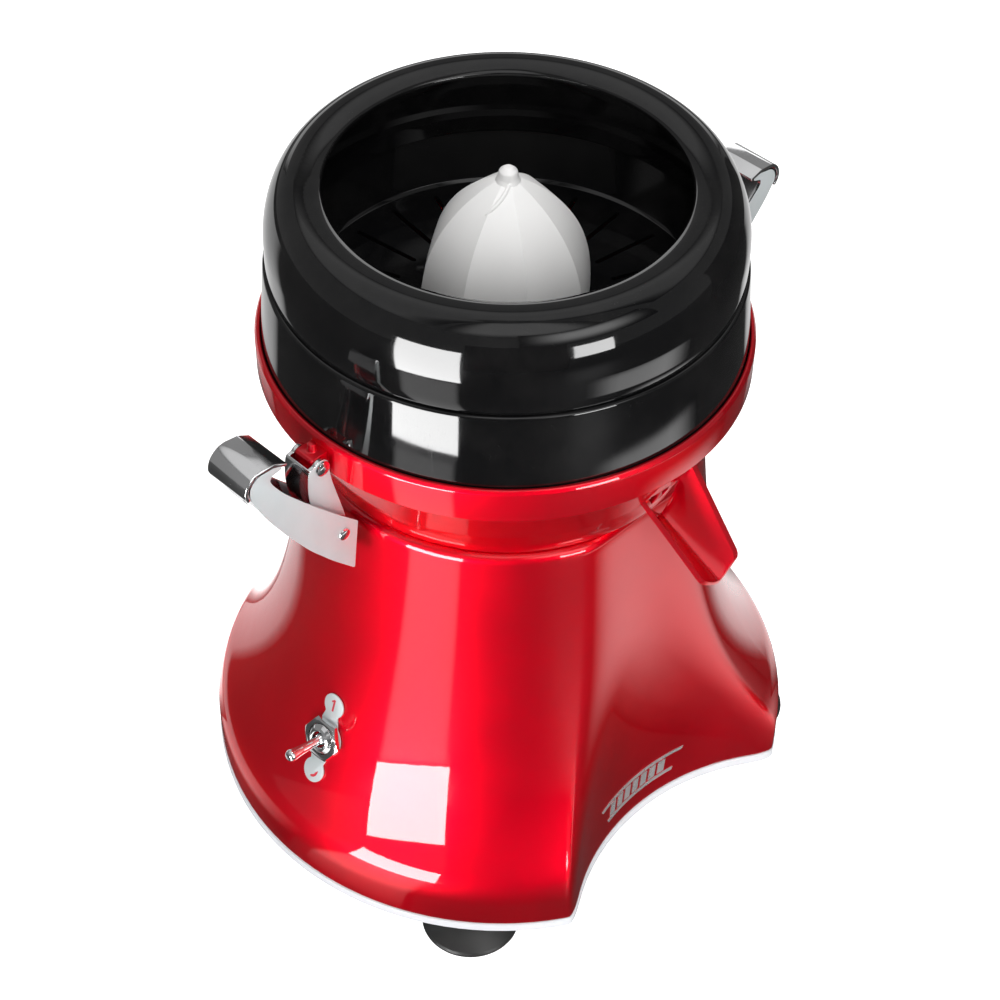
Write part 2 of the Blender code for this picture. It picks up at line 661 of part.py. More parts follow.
def make_bowl(frame):
    profile = [(9.3, 179.5), (9.3, 220.0), (12.0, 220.0), (12.0, 185.0), (69.5, 182.4),
               (72.4, 183.4), (75.8, 190.6), (84.6, 207.6), (84.8, BOWL_LEDGE),
               (87.4, BOWL_LEDGE), (87.4, BOWL_RIM - 0.4), (88.2, BOWL_RIM), (89.2, 221.3),
               (RIM_RADIUS, 219.8), (89.2, BOWL_BAND + 0.3), (88.2, BOWL_BAND),
               (79.4, 190.5), (78.3, 189.6), (75.2, 182.6), (72.5, BOWL_BOTTOM),
               (70.2, BOWL_BOTTOM), (70.4, 179.5)]
    lugs = []
    holes = []
    for side in (-1.0, 1.0):
        r, z = LUG_PIVOT
        block = [(88.3, 208.6), (95.6, 208.6), (97.0, 210.0), (97.0, 217.4), (96.2, 218.2),
                 (88.3, 218.2)]
        lugs.append(side_plate(block, -LUG_HALF_WIDTH, LUG_HALF_WIDTH, side))
        lugs.append(rod(1.5, 217.0, 221.6, (side * 92.6, 0.0), 8))
        turn = Matrix.Translation((side * r, 0.0, z)) @ Matrix.Rotation(math.pi / 2.0, 4, "X")
        holes.append(transformed(rod(2.3, -12.0, 12.0, segments=10), turn))
    bowl = lathe(profile, 48)
    node("juice_bowl", bowl, "red_paint", frame, joins=[spout_outer()] + lugs,
         cuts=[spout_inner()] + spout_windows() + [merged(holes)])


# ---------------------------------------------------------------- strainer, ring, cone

def make_strainer(frame):
    profile = [(6.6, 224.3), (6.6, 231.0), (11.0, 231.0), (11.6, 228.0), (13.5, STRAINER_FLOOR),
               (73.2, STRAINER_FLOOR), (74.4, 228.2), (80.4, 245.0), (80.6, SEAM),
               (84.0, SEAM), (84.7, SEAM - 0.9), (BAND_RADIUS, BOWL_RIM + 0.1),
               (BAND_RADIUS, BOWL_LEDGE + GAP), (84.9, BOWL_LEDGE + GAP), (83.5, 239.0),
               (80.9, 239.0), (76.6, 227.6), (75.2, 224.3)]
    slots = []
    inner, outer = SLOT_RADII
    for i in range(SLOT_COUNT):
        cut = box((inner, -SLOT_WIDTH / 2.0, 220.0), (outer, SLOT_WIDTH / 2.0, 232.0))
        slots.append(transformed(cut, Matrix.Rotation(TAU * (i + 0.5) / SLOT_COUNT, 4, "Z")))
    node("strainer_basket", lathe(profile, 40), "black_plastic", frame, cuts=(merged(slots),))


def make_splash_ring(frame):
    outer = [(83.7, SEAM + GAP), (83.9, 256.0)]
    outer += [(72.0 + 12.2 * math.cos(a), 262.0 + 22.3 * math.sin(a))
              for a in (math.radians(d) for d in (0, 18, 36, 54, 70, 84))]
    lip = [(67.0, 283.7), (LIP_RADIUS + 0.4, 282.4), (LIP_RADIUS + 0.2, 280.4)]
    inner = [(72.0, 280.0), (77.6, 275.0), (81.2, 264.0)]
    spigot = [(81.3, 254.0), (77.9, 253.6), (77.9, 247.0), (80.1, 247.0), (80.2, SEAM + GAP)]
    node("splash_ring", lathe(outer + lip + inner + spigot, 36), "black_plastic", frame)


def cone_section(level, inset=0.0):
    """A ring of the reamer: shallow hollows between sharp ridges."""
    t = (level - CONE_BASE) / (CONE_TOP - CONE_BASE)
    radius = CONE_RADIUS * max(1.0 - t ** 2.6, 0.0) ** 0.8 - inset
    per_ridge = 4
    count = CONE_RIDGES * per_ridge
    hollow = 0.0 if inset else 0.055
    points = []
    for i in range(count):
        phase = (i % per_ridge) / per_ridge
        dip = 1.0 - hollow * math.sin(math.pi * phase) ** 0.8
        a = math.radians(14.3) + TAU * i / count
        points.append((radius * dip * math.cos(a), radius * dip * math.sin(a), level))
    return points


def make_cone(frame):
    levels = [CONE_BASE, 240.0, 250.0, 259.0, 267.0, 274.0, 279.5, 283.2]
    shell = loft([cone_section(z) for z in levels])
    nub = solid_lathe([(0.0, 279.0), (4.6, 279.0), (3.9, 284.5), (2.4, 287.8), (0.0, 288.5)], 12)
    mouth = [(x, y, CONE_BASE - 2.0) for x, y, _ in cone_section(CONE_BASE, CONE_WALL)]
    cavity = loft([mouth] + [cone_section(z, CONE_WALL) for z in (240.0, 252.0, 263.0)])
    hub = rod(9.0, 233.2, 268.0, segments=12)
    socket = solid_lathe([(0.0, 230.0), (DRIVE_RADIUS + 0.5, 230.0),
                          (DRIVE_RADIUS + 0.5, SHAFT_TOP + 1.0), (0.0, SHAFT_TOP + 1.0)], 6)
    node("reamer_cone", shell, "cone_white", frame, joins=(nub,), cuts=(cavity,), adds=(hub,),
         bores=(socket,), sharp=20.0)


# ---------------------------------------------------------------- latches

def link_outline():
    r, z = LUG_PIVOT
    low_r, low_z = LEVER_PIVOT
    top = arc((r + 0.6, z), 4.4, 170.0, 40.0, 6)
    outer = [(99.4, 216.2), (100.2, 212.0), (100.4, 206.0), (99.6, 200.0), (97.0, 192.0)]
    bottom = arc((low_r, low_z), 4.8, -10.0, -170.0, 6)
    return top + outer + bottom + [(84.6, 187.0), (90.0, 207.6)]


def link_cutter():
    """Everything between the two plates except the web on the outer side."""
    inner = [(98.7, 218.0), (98.8, 212.0), (99.0, 206.0), (98.2, 200.2), (95.6, 192.4),
             (93.0, 170.0)]
    return inner + [(70.0, 170.0), (70.0, 230.0), (98.7, 230.0)]


def lever_outline():
    """Curved lever seen from the side: toe, lower edge, grip end, upper edge."""
    lower = [(83.7, 160.9), (93.6, 171.5), (103.7, 183.8), (113.4, 198.1), (121.3, 211.0),
             (126.0, 220.6), (127.5, 226.0)]
    grip = arc((121.9, 226.8), 5.6, 10.0, 100.0, 4)
    claw = [(117.2, 232.2), (113.5, 230.8), (113.7, 229.6), (117.9, 229.0), (118.8, 227.4)]
    upper = [(118.0, 225.2), (114.0, 218.8), (108.6, 212.3), (99.4, 201.5), (89.9, 191.5)]
    return lower + grip + claw + upper + [(81.4, 182.9), (82.7, 171.2)]


def lever_cutter():
    """The hollow of the channel: all but the web along the lower edge and the end."""
    inner = [(80.0, 160.0), (85.1, 164.9), (92.6, 172.6), (102.6, 184.7), (112.2, 198.9),
             (120.0, 211.7), (124.7, 221.2), (126.1, 226.2)]
    roof = arc((121.9, 226.8), 4.0, 10.0, 100.0, 3)
    return inner + roof + [(113.0, 229.5), (100.0, 240.0), (70.0, 240.0), (70.0, 160.0)]


def grip_outline():
    """Rolled sheet wrapped over the lever's end."""
    centre = (122.2, 227.2)
    outside = [(124.6, 216.0), (129.6, 226.0)] + arc(centre, 7.5, 0.0, 95.0, 5)
    outside += [(116.4, 233.9), (111.2, 230.8)]
    inside = [(112.0, 229.8), (116.8, 232.5)] + arc(centre, 6.1, 95.0, 0.0, 5)
    return outside + inside + [(128.2, 226.6), (123.4, 217.0)]


def along_y(bm_profile, place, segments=8):
    """A pin across the latch, its profile along Y and centred on a pivot."""
    turn = Matrix.Translation((place[0], 0.0, place[1])) @ Matrix.Rotation(math.pi / 2.0, 4, "X")
    return transformed(solid_lathe(bm_profile, segments), turn)


def pin_profile(radius, head, length, thickness):
    half = length / 2.0
    return [(0.0, -half - thickness), (head, -half - thickness), (head, -half), (radius, -half),
            (radius, half), (head, half), (head, half + thickness), (0.0, half + thickness)]


def make_latch(side, name, bowl_frame):
    """One latch: pin through the bowl's lug, link, and lever hung from the link's end."""
    lug = (side * LUG_PIVOT[0], LUG_PIVOT[1])
    low = (side * LEVER_PIVOT[0], LEVER_PIVOT[1])
    link_frame = empty(f"latch_link_{name}_axis", (lug[0], 0.0, lug[1]), bowl_frame)
    lever_frame = empty(f"latch_lever_{name}_axis", (low[0], 0.0, low[1]), link_frame)
    width = 2.0 * LINK_HALF_WIDTH
    pin = along_y(pin_profile(1.9, 3.0, width + 2.0 * GAP, 1.0), lug)
    node(f"lug_pin_{name}", pin, "chrome", bowl_frame)
    pocket = side_plate(link_cutter(), SHEET - LINK_HALF_WIDTH, LINK_HALF_WIDTH - SHEET, side)
    bores = [along_y([(0.0, -20.0), (2.3, -20.0), (2.3, 20.0), (0.0, 20.0)], lug),
             along_y([(0.0, -20.0), (2.1, -20.0), (2.1, 20.0), (0.0, 20.0)], low)]
    node(f"latch_link_{name}", side_plate(link_outline(), -LINK_HALF_WIDTH, LINK_HALF_WIDTH, side),
         "chrome", link_frame, cuts=[pocket] + bores)
    rivet = along_y(pin_profile(1.8, 2.4, 2.0 * (LEVER_HALF_WIDTH + GAP), 0.7), low)
    node(f"lever_rivet_{name}", rivet, "chrome", link_frame)
    inside = LEVER_HALF_WIDTH - SHEET
    hollow = side_plate(lever_cutter(), -inside, inside, side)
    bore = along_y([(0.0, -20.0), (2.1, -20.0), (2.1, 20.0), (0.0, 20.0)], low)
    grip_half = LEVER_HALF_WIDTH + 0.25
    grip = side_plate(grip_outline(), -grip_half, grip_half, side)
    blank = side_plate(lever_outline(), -LEVER_HALF_WIDTH, LEVER_HALF_WIDTH, side)
    pivot = Matrix.Translation((low[0], 0.0, low[1]))
    swing = Matrix.Rotation(side * math.radians(LEVER_SWING[name]), 4, "Y")
    for shape in (hollow, bore, grip, blank):
        transformed(shape, pivot @ swing @ pivot.inverted())
    node(f"latch_lever_{name}", blank, "chrome", lever_frame, cuts=(hollow, bore), adds=(grip,))


def main():
    clear_scene()
    make_base()
    make_feet()
    make_cord_inlet()
    make_motor_frame()
    make_rotor()
    make_switch()
    bowl_frame = empty("bowl_lift_axis", (0.0, 0.0, BOWL_BOTTOM))
    strainer_frame = empty("strainer_lift_axis", (0.0, 0.0, BOWL_LEDGE), bowl_frame)
    ring_frame = empty("splash_ring_lift_axis", (0.0, 0.0, SEAM), strainer_frame)
    spin_frame = empty("cone_spin_axis", (0.0, 0.0, CONE_BASE), strainer_frame)
    cone_frame = empty("cone_lift_axis", (0.0, 0.0, CONE_BASE), spin_frame)
    make_bowl(bowl_frame)
    for side, name in ((-1.0, "left"), (1.0, "right")):
        make_latch(side, name, bowl_frame)
    make_strainer(strainer_frame)
    make_splash_ring(ring_frame)
    washer = [(6.4, 231.3), (10.5, 231.3), (10.5, 232.8), (6.4, 232.8)]
    node("thrust_washer", lathe(washer, 14), "fan_plastic", spin_frame)
    make_cone(cone_frame)


main()
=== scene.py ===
"""Looks for the bench-top citrus press juicer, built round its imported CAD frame.

Lengths are in millimetres until they reach a mesh. Z is the motor's axis, the spout points
along -Y, the left latch and the switch are on -X.
"""
import json
import math

import bmesh
import bpy
from mathutils import Matrix, Vector


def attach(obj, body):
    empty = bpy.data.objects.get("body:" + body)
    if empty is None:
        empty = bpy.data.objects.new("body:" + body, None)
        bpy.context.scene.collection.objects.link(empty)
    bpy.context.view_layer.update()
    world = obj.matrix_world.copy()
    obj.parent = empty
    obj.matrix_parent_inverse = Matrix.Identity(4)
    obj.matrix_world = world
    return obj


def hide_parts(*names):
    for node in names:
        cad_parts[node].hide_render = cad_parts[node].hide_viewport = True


MM = 0.001
TAU = 2.0 * math.pi
SPOUT_ANGLE = -math.pi / 2.0

# Levels up the machine
FOOT_HEIGHT = 11.0
TRIM_TOP = 15.4
BODY_BOTTOM = 15.7
DECK_TOP = 175.5
DECK_EDGE = 4.0
BOWL_BOTTOM = 176.0
BOWL_BAND = 208.2
BOWL_LEDGE = 211.2
BOWL_RIM = 222.2
STRAINER_FLOOR = 227.0
SEAM = 251.3
CONE_BASE = 230.0
CONE_TOP = 285.0

# Bell-shaped base
SKIRT_RADIUS = 115.3
SHAFT_HOLE_RADIUS = 13.2
NECK_RADIUS = 70.8
FLARE = 66.7
FLARE_HEIGHT = 57.0
SHOULDER_BLEND = 5.0
SCOOP_RADIUS = 93.0
SCOOP_CENTRE = 173.0
SCOOP_LEAN = 0.055
RIDGE_BLEND = 9.0
WALL = 3.2
BASE_STEPS = 240

# Bowl, strainer, splash ring
RIM_RADIUS = 89.5
BAND_RADIUS = 87.1
ROUND_STEPS = 160
SLOT_COUNT = 24
SLOT_RADII = (42.0, 68.0)
SLOT_WIDTH = 1.8

# Spout
SPOUT_START = 72.0
SPOUT_TIP = 106.8
SPOUT_WALL = 2.2
SPOUT_FLOOR = 182.6
SPOUT_SLOPE = 0.47

# Reamer
CONE_RADIUS = 31.0
CONE_RIDGES = 8
FIRST_RIDGE = 14.3

# Latches
LUG_PIVOT = (93.6, 214.2)
LEVER_PIVOT = (88.1, 181.0)
LUG_HALF_WIDTH = 4.2
LINK_HALF_WIDTH = 6.0
LEVER_HALF_WIDTH = 9.3
SHEET = 1.4
LEVER_SWING = {"left": 0.0, "right": 14.0}

# Switch
SWITCH_LEVEL = 69.4
SWITCH_OFFSET = -1.2
BUSHING_RADIUS = 6.0
TOGGLE_TILT = -12.0
TOGGLE_PIVOT = 3.0

# Feet
FOOT_CIRCLE = 101.5
FOOT_ANGLES = (51.0, 145.0, 215.0, 309.0)
FOOT_RADIUS = 19.0
CORD_LEVEL = 30.0

# Camera and studio
CAMERA_PLACE = (-0.4706, -0.4592, 0.7812)
CAMERA_AIM = (-0.0006, 0.0006, 0.1302)
CAMERA_LENS = 86.83
CAMERA_ROLL = 0.0176
WORLD_LIGHT = 0.25
FLOOR_GLOW = 0.85

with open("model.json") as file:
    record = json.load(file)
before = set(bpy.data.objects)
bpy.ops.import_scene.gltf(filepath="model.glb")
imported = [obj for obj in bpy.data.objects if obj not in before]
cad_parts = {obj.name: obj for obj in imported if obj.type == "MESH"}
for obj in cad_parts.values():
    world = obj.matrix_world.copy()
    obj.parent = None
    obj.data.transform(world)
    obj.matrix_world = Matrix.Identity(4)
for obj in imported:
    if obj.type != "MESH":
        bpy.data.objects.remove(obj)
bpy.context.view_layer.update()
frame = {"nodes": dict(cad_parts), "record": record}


# ---------------------------------------------------------------- materials

class Nodes:
    """Short ways to add shader nodes to one material."""

    def __init__(self, name):
        self.material = bpy.data.materials.new(name)
        self.material.use_nodes = True
        self.tree = self.material.node_tree
        self.shader = self.tree.nodes["Principled BSDF"]
        self.place = self.add("ShaderNodeTexCoord").outputs["Object"]

    def add(self, kind, **settings):
        made = self.tree.nodes.new(kind)
        for key, value in settings.items():
            setattr(made, key, value)
        return made

    def link(self, source, target):
        self.tree.links.new(source, target)

    def set(self, **values):
        for key, value in values.items():
            self.shader.inputs[key.replace("_", " ")].default_value = value

    def noise(self, scale, detail=4.0, roughness=0.55, stretch=(1.0, 1.0, 1.0), turn=0.0):
        mapping = self.add("ShaderNodeMapping")
        mapping.inputs["Scale"].default_value = stretch
        mapping.inputs["Rotation"].default_value = (turn, turn, turn)
        self.link(self.place, mapping.inputs["Vector"])
        made = self.add("ShaderNodeTexNoise")
        made.inputs["Scale"].default_value = scale
        made.inputs["Detail"].default_value = detail
        made.inputs["Roughness"].default_value = roughness
        self.link(mapping.outputs["Vector"], made.inputs["Vector"])
        return made.outputs["Fac"]

    def ramp(self, value, low, high, out_low=0.0, out_high=1.0):
        made = self.add("ShaderNodeMapRange")
        made.inputs["From Min"].default_value = low
        made.inputs["From Max"].default_value = high
        made.inputs["To Min"].default_value = out_low
        made.inputs["To Max"].default_value = out_high
        self.link(value, made.inputs["Value"])
        return made.outputs["Result"]

    def math(self, operation, a, b):
        made = self.add("ShaderNodeMath", operation=operation)
        for socket, value in zip(made.inputs, (a, b)):
            if isinstance(value, (int, float)):
                socket.default_value = value
            else:
                self.link(value, socket)
        return made.outputs["Value"]

    def mix(self, factor, first, second):
        made = self.add("ShaderNodeMix", data_type="RGBA")
        made.inputs["A"].default_value = first
        made.inputs["B"].default_value = second
        self.link(factor, made.inputs["Factor"])
        return made.outputs["Result"]

    def bump(self, height, distance, strength=1.0, before=None):
        made = self.add("ShaderNodeBump")
        made.inputs["Distance"].default_value = distance * MM
        made.inputs["Strength"].default_value = strength
        self.link(height, made.inputs["Height"])
        if before is not None:
            self.link(before, made.inputs["Normal"])
        return made.outputs["Normal"]

    def scratches(self, scale, turn, width=0.006):
        """Thin straight marks: the narrow middle band of a noise stretched along one way."""
        streak = self.noise(scale, 2.0, 0.5, (1.0, 14.0, 1.0), turn)
        centre = self.math("ABSOLUTE", self.math("SUBTRACT", streak, 0.5), 0.0)
        return self.ramp(centre, 0.0, width, 1.0, 0.0)

    def specks(self, scale, size):
        """Small round dots of dust, at the centres of scattered cells."""
        made = self.add("ShaderNodeTexVoronoi")
        made.inputs["Scale"].default_value = scale
        self.link(self.place, made.inputs["Vector"])
        return self.ramp(made.outputs["Distance"], 0.0, size, 1.0, 0.0)


def red_lacquer():
    """Candy lacquer: a red metallic ground under a clear coat."""
    n = Nodes("red_lacquer")
    n.set(Metallic=0.85, Specular_Tint=(1.0, 0.08, 0.1, 1.0), Coat_Weight=1.0, Coat_Roughness=0.025,
          Coat_IOR=1.5)
    shade = n.noise(9.0, 3.0)
    colour = n.mix(n.ramp(shade, 0.3, 0.7), (0.66, 0.0, 0.012, 1.0), (0.74, 0.0, 0.014, 1.0))
    n.link(colour, n.shader.inputs["Base Color"])
    flake = n.noise(2600.0, 2.0, 0.6)
    wear = n.ramp(n.noise(45.0, 5.0), 0.3, 0.75, 0.42, 0.5)
    n.link(n.math("ADD", wear, n.ramp(flake, 0.3, 0.7, -0.03, 0.03)), n.shader.inputs["Roughness"])
    peel = n.noise(240.0, 2.0, 0.4)
    n.link(n.bump(peel, 0.012, 0.5), n.shader.inputs["Coat Normal"])
    n.link(n.bump(flake, 0.01, 0.5), n.shader.inputs["Normal"])
    return n.material


def black_gloss():
    """Polished moulding with handling marks: short scratches in patches, and dust."""
    n = Nodes("black_gloss_plastic")
    n.set(IOR=1.5)
    marks = n.math("MAXIMUM", n.scratches(70.0, 0.7, 0.004), n.scratches(95.0, 2.1, 0.003))
    patchy = n.math("MULTIPLY", marks, n.ramp(n.noise(17.0, 2.0), 0.56, 0.7, 0.0, 0.5))
    dust = n.math("MULTIPLY", n.specks(900.0, 0.14), n.ramp(n.noise(40.0, 2.0), 0.46, 0.64))
    haze = n.ramp(n.noise(30.0, 6.0, 0.7), 0.45, 0.8, 0.0, 0.12)
    mess = n.math("MAXIMUM", haze, n.math("MAXIMUM", patchy, dust))
    colour = n.mix(mess, (0.0035, 0.0035, 0.0038, 1.0), (0.055, 0.052, 0.05, 1.0))
    n.link(colour, n.shader.inputs["Base Color"])
    smear = n.ramp(n.noise(26.0, 5.0, 0.6), 0.3, 0.75, 0.03, 0.075)
    n.link(n.math("ADD", smear, n.math("MULTIPLY", mess, 0.25)), n.shader.inputs["Roughness"])
    ripple = n.noise(40.0, 2.0, 0.4)
    n.link(n.bump(ripple, 0.03, 0.3), n.shader.inputs["Normal"])
    return n.material


def chrome():
    n = Nodes("chrome_plate")
    n.set(Metallic=1.0)
    haze = n.noise(70.0, 5.0)
    colour = n.mix(haze, (0.74, 0.74, 0.75, 1.0), (0.86, 0.86, 0.87, 1.0))
    n.link(colour, n.shader.inputs["Base Color"])
    marks = n.scratches(90.0, 1.1, 0.008)
    rough = n.math("ADD", n.ramp(haze, 0.35, 0.7, 0.07, 0.16), n.math("MULTIPLY", marks, 0.12))
    n.link(rough, n.shader.inputs["Roughness"])
    n.link(n.bump(n.noise(55.0, 3.0), 0.05, 0.3), n.shader.inputs["Normal"])
    return n.material


def steel_painted_reflection():
    """Brushed and plated sheet of the levers and links, softer than the rolled grips; its light grey
    base colour is a painted reflection, standing in for the mirror plating reflecting a uniform grey
    table.
    """
    n = Nodes("steel_painted_reflection")
    n.set(Metallic=0.35)
    haze = n.noise(60.0, 5.0)
    # painted reflection: the light grey colour stands in for a grey table mirrored in the plating
    colour = n.mix(haze, (0.54, 0.59, 0.6, 1.0), (0.64, 0.68, 0.69, 1.0))
    n.link(colour, n.shader.inputs["Base Color"])
    grain = n.noise(300.0, 3.0, 0.6, (1.0, 1.0, 0.08), 0.5)
    n.link(n.ramp(grain, 0.3, 0.7, 0.34, 0.46), n.shader.inputs["Roughness"])
    n.link(n.bump(grain, 0.01, 0.4), n.shader.inputs["Normal"])
    return n.material


def cast_grey():
    n = Nodes("cone_grey")
    n.set(IOR=1.45)
    cloud = n.noise(30.0, 5.0)
    colour = n.mix(cloud, (0.68, 0.675, 0.67, 1.0), (0.76, 0.755, 0.745, 1.0))
    n.link(colour, n.shader.inputs["Base Color"])
    n.link(n.ramp(n.noise(120.0, 4.0), 0.3, 0.7, 0.36, 0.52), n.shader.inputs["Roughness"])
    n.link(n.bump(n.noise(420.0, 3.0), 0.02, 0.5), n.shader.inputs["Normal"])
    return n.material


def plain(name, dark, light, rough, metallic=0.0, scale=90.0, bump=0.03, stretch=(1.0, 1.0, 1.0)):
    """A surface with clouded colour, uneven roughness and a fine bump."""
    n = Nodes(name)
    n.set(Metallic=metallic)
    cloud = n.noise(scale * 0.4, 4.0, 0.55, stretch)
    n.link(n.mix(cloud, dark + (1.0,), light + (1.0,)), n.shader.inputs["Base Color"])
    fine = n.noise(scale, 5.0, 0.6, stretch)
    n.link(n.ramp(fine, 0.3, 0.7, rough[0], rough[1]), n.shader.inputs["Roughness"])
    n.link(n.bump(fine, bump, 0.5), n.shader.inputs["Normal"])
    return n.material


LOOKS = {
    "red_paint": red_lacquer(),
    "black_plastic": black_gloss(),
    "chrome": chrome(),
    "cone_white": cast_grey(),
    "trim_grey": plain("trim_strip", (0.66, 0.68, 0.71), (0.74, 0.76, 0.79), (0.28, 0.42)),
    "matte_black": plain("matte_black", (0.016, 0.016, 0.017), (0.03, 0.03, 0.031), (0.45, 0.65)),
    "rubber": plain("black_rubber", (0.012, 0.012, 0.012), (0.026, 0.025, 0.024), (0.32, 0.5),
                    scale=160.0),
    "steel": plain("turned_steel", (0.42, 0.42, 0.43), (0.6, 0.6, 0.61), (0.2, 0.4), 1.0, 200.0),
    "lamination": plain("laminations", (0.12, 0.12, 0.13), (0.3, 0.3, 0.31), (0.4, 0.6), 0.9, 60.0,
                        0.1, (1.0, 1.0, 30.0)),
    "copper": plain("copper_wire", (0.5, 0.16, 0.05), (0.8, 0.36, 0.16), (0.25, 0.45), 0.9, 150.0,
                    0.2, (1.0, 1.0, 6.0)),
    "aluminium": plain("cast_aluminium", (0.45, 0.46, 0.47), (0.66, 0.67, 0.68), (0.4, 0.6), 1.0,
                       180.0, 0.08),
    "fan_plastic": plain("natural_nylon", (0.46, 0.45, 0.4), (0.58, 0.57, 0.52), (0.4, 0.6)),
}
# Light grey steel whose colour is a painted reflection of a grey table; used on the latch cheeks and
# the switch plate
PAINTED_REFLECTION_STEEL = steel_painted_reflection()
DIGIT_RED = plain("digit_red", (0.5, 0.0, 0.02), (0.62, 0.01, 0.03), (0.35, 0.5))
STRIPE = plain("silver_stripe", (0.62, 0.6, 0.6), (0.78, 0.77, 0.77), (0.22, 0.34), 0.7)


# ---------------------------------------------------------------- shape helpers

def shape_mesh(name, bm):
    bmesh.ops.remove_doubles(bm, verts=bm.verts, dist=1e-4)
    bmesh.ops.scale(bm, vec=(MM, MM, MM), verts=bm.verts)
    bmesh.ops.recalc_face_normals(bm, faces=bm.faces)
    mesh = bpy.data.meshes.new(name)
    bm.to_mesh(mesh)
    bm.free()
    made = bpy.data.objects.new(name, mesh)
    bpy.context.scene.collection.objects.link(made)
    return made


def apply_modifiers(item):
    bpy.context.view_layer.update()
    graph = bpy.context.evaluated_depsgraph_get()
    result = bpy.data.meshes.new_from_object(item.evaluated_get(graph))
    old = item.data
    item.modifiers.clear()
    item.data = result
    bpy.data.meshes.remove(old)


def combine(item, shape, operation):
    tool = shape_mesh(item.name + "_tool", shape)
    modifier = item.modifiers.new("combine", "BOOLEAN")
    modifier.operation = operation
    modifier.solver = "EXACT"
    modifier.object = tool
    apply_modifiers(item)
    bpy.data.objects.remove(tool, do_unlink=True)


def piece(name, bm, body, slot, node=None, look=None, joins=(), cuts=(), bevel=0.0, sharp=32.0):
    """A detailed piece that rides on a body and, if `node` is given, stands for that node."""
    made = shape_mesh(name, bm)
    for shape in joins:
        combine(made, shape, "UNION")
    for shape in cuts:
        combine(made, shape, "DIFFERENCE")
    if bevel:
        modifier = made.modifiers.new("edges", "BEVEL")
        modifier.width = bevel * MM
        modifier.segments = 3
        modifier.limit_method = "ANGLE"
        modifier.angle_limit = math.radians(sharp)
        modifier.use_clamp_overlap = True
        apply_modifiers(made)
    made.data.shade_smooth()
    made.data.set_sharp_from_angle(angle=math.radians(sharp))
    made.data.materials.clear()
    made.data.materials.append(look or LOOKS[slot])
    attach(made, body)
    if node:
        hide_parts(node)
    return made


def lathe(profile, steps=ROUND_STEPS, closed=True, centre=(0.0, 0.0)):
    bm = bmesh.new()
    points = [bm.verts.new((r, 0.0, z)) for r, z in profile]
    edges = [bm.edges.new(pair) for pair in zip(points, points[1:])]
    if closed:
        edges.append(bm.edges.new((points[-1], points[0])))
    bmesh.ops.spin(bm, geom=points + edges, cent=(0, 0, 0), axis=(0, 0, 1), dvec=(0, 0, 0),
                   angle=TAU, steps=steps, use_merge=True)
    bmesh.ops.remove_doubles(bm, verts=bm.verts, dist=1e-4)
    bmesh.ops.translate(bm, vec=(centre[0], centre[1], 0.0), verts=bm.verts)
    bmesh.ops.recalc_face_normals(bm, faces=bm.faces)
    return bm


def solid_lathe(profile, steps=48, centre=(0.0, 0.0)):
    return lathe(profile, steps, False, centre)


def rod(radius, low, high, centre=(0.0, 0.0), steps=32):
    return solid_lathe([(0.0, low), (radius, low), (radius, high), (0.0, high)], steps, centre)


def loft(sections, close_ends=True):
    bm = bmesh.new()
    rings = [[bm.verts.new(point) for point in loop] for loop in sections]
    count = len(rings[0])
    pairs = list(zip(rings, rings[1:]))
    if not close_ends:
        pairs.append((rings[-1], rings[0]))
    for ring, after in pairs:
        for i in range(count):
            j = (i + 1) % count
            bm.faces.new((ring[i], ring[j], after[j], after[i]))
    if close_ends:
        bm.faces.new(rings[0])
        bm.faces.new(rings[-1])
    bmesh.ops.recalc_face_normals(bm, faces=bm.faces)
    return bm


def side_plate(outline, low, high, side=1.0):
    return loft([[(side * r, y, z) for r, z in outline] for y in (low, high)])


def transformed(bm, matrix):
    bmesh.ops.transform(bm, matrix=matrix, verts=bm.verts)
    bmesh.ops.recalc_face_normals(bm, faces=bm.faces)
    return bm


def merged(shapes):
    whole = bmesh.new()
    for shape in shapes:
        mesh = bpy.data.meshes.new("part")
        shape.to_mesh(mesh)
        shape.free()
        whole.from_mesh(mesh)
        bpy.data.meshes.remove(mesh)
    return whole


def arc(centre, radius, start, end, steps):
    angles = [math.radians(start + (end - start) * i / steps) for i in range(steps + 1)]
    return [(centre[0] + radius * math.cos(a), centre[1] + radius * math.sin(a)) for a in angles]


def rounded(points, radius, steps=4, closed=True):
    """Rounds each corner; a point with a third value uses that radius instead."""
    result = []
    count = len(points)
    for i, point in enumerate(points):
        here = Vector(point[:2])
        size = point[2] if len(point) > 2 else radius
        if size == 0.0 or (not closed and i in (0, count - 1)):
            result.append(tuple(here))
            continue
        back = Vector(points[i - 1][:2]) - here
        ahead = Vector(points[(i + 1) % count][:2]) - here
        turn = math.pi - back.angle(ahead, math.pi)
        if turn < 0.01:
            result.append(tuple(here))
            continue
        reach = min(size * math.tan(turn / 2.0), 0.49 * back.length, 0.49 * ahead.length)
        start = here + back.normalized() * reach
        end = here + ahead.normalized() * reach
        for k in range(steps + 1):
            u = k / steps
            result.append(tuple(start * (1 - u) ** 2 + here * 2 * u * (1 - u) + end * u * u))
    return result


def polar(radius, degrees):
    a = SPOUT_ANGLE + math.radians(degrees)
    return (radius * math.cos(a), radius * math.sin(a))


# ---------------------------------------------------------------- base

def blend_min(a, b, width):
    overlap = max(width - abs(a - b), 0.0) / width
    return min(a, b) - overlap * overlap * width / 4.0


def bell_radius(level):
    flare = NECK_RADIUS + FLARE * math.exp(-(level - FOOT_HEIGHT) / FLARE_HEIGHT)
    return blend_min(SKIRT_RADIUS, flare, SHOULDER_BLEND)


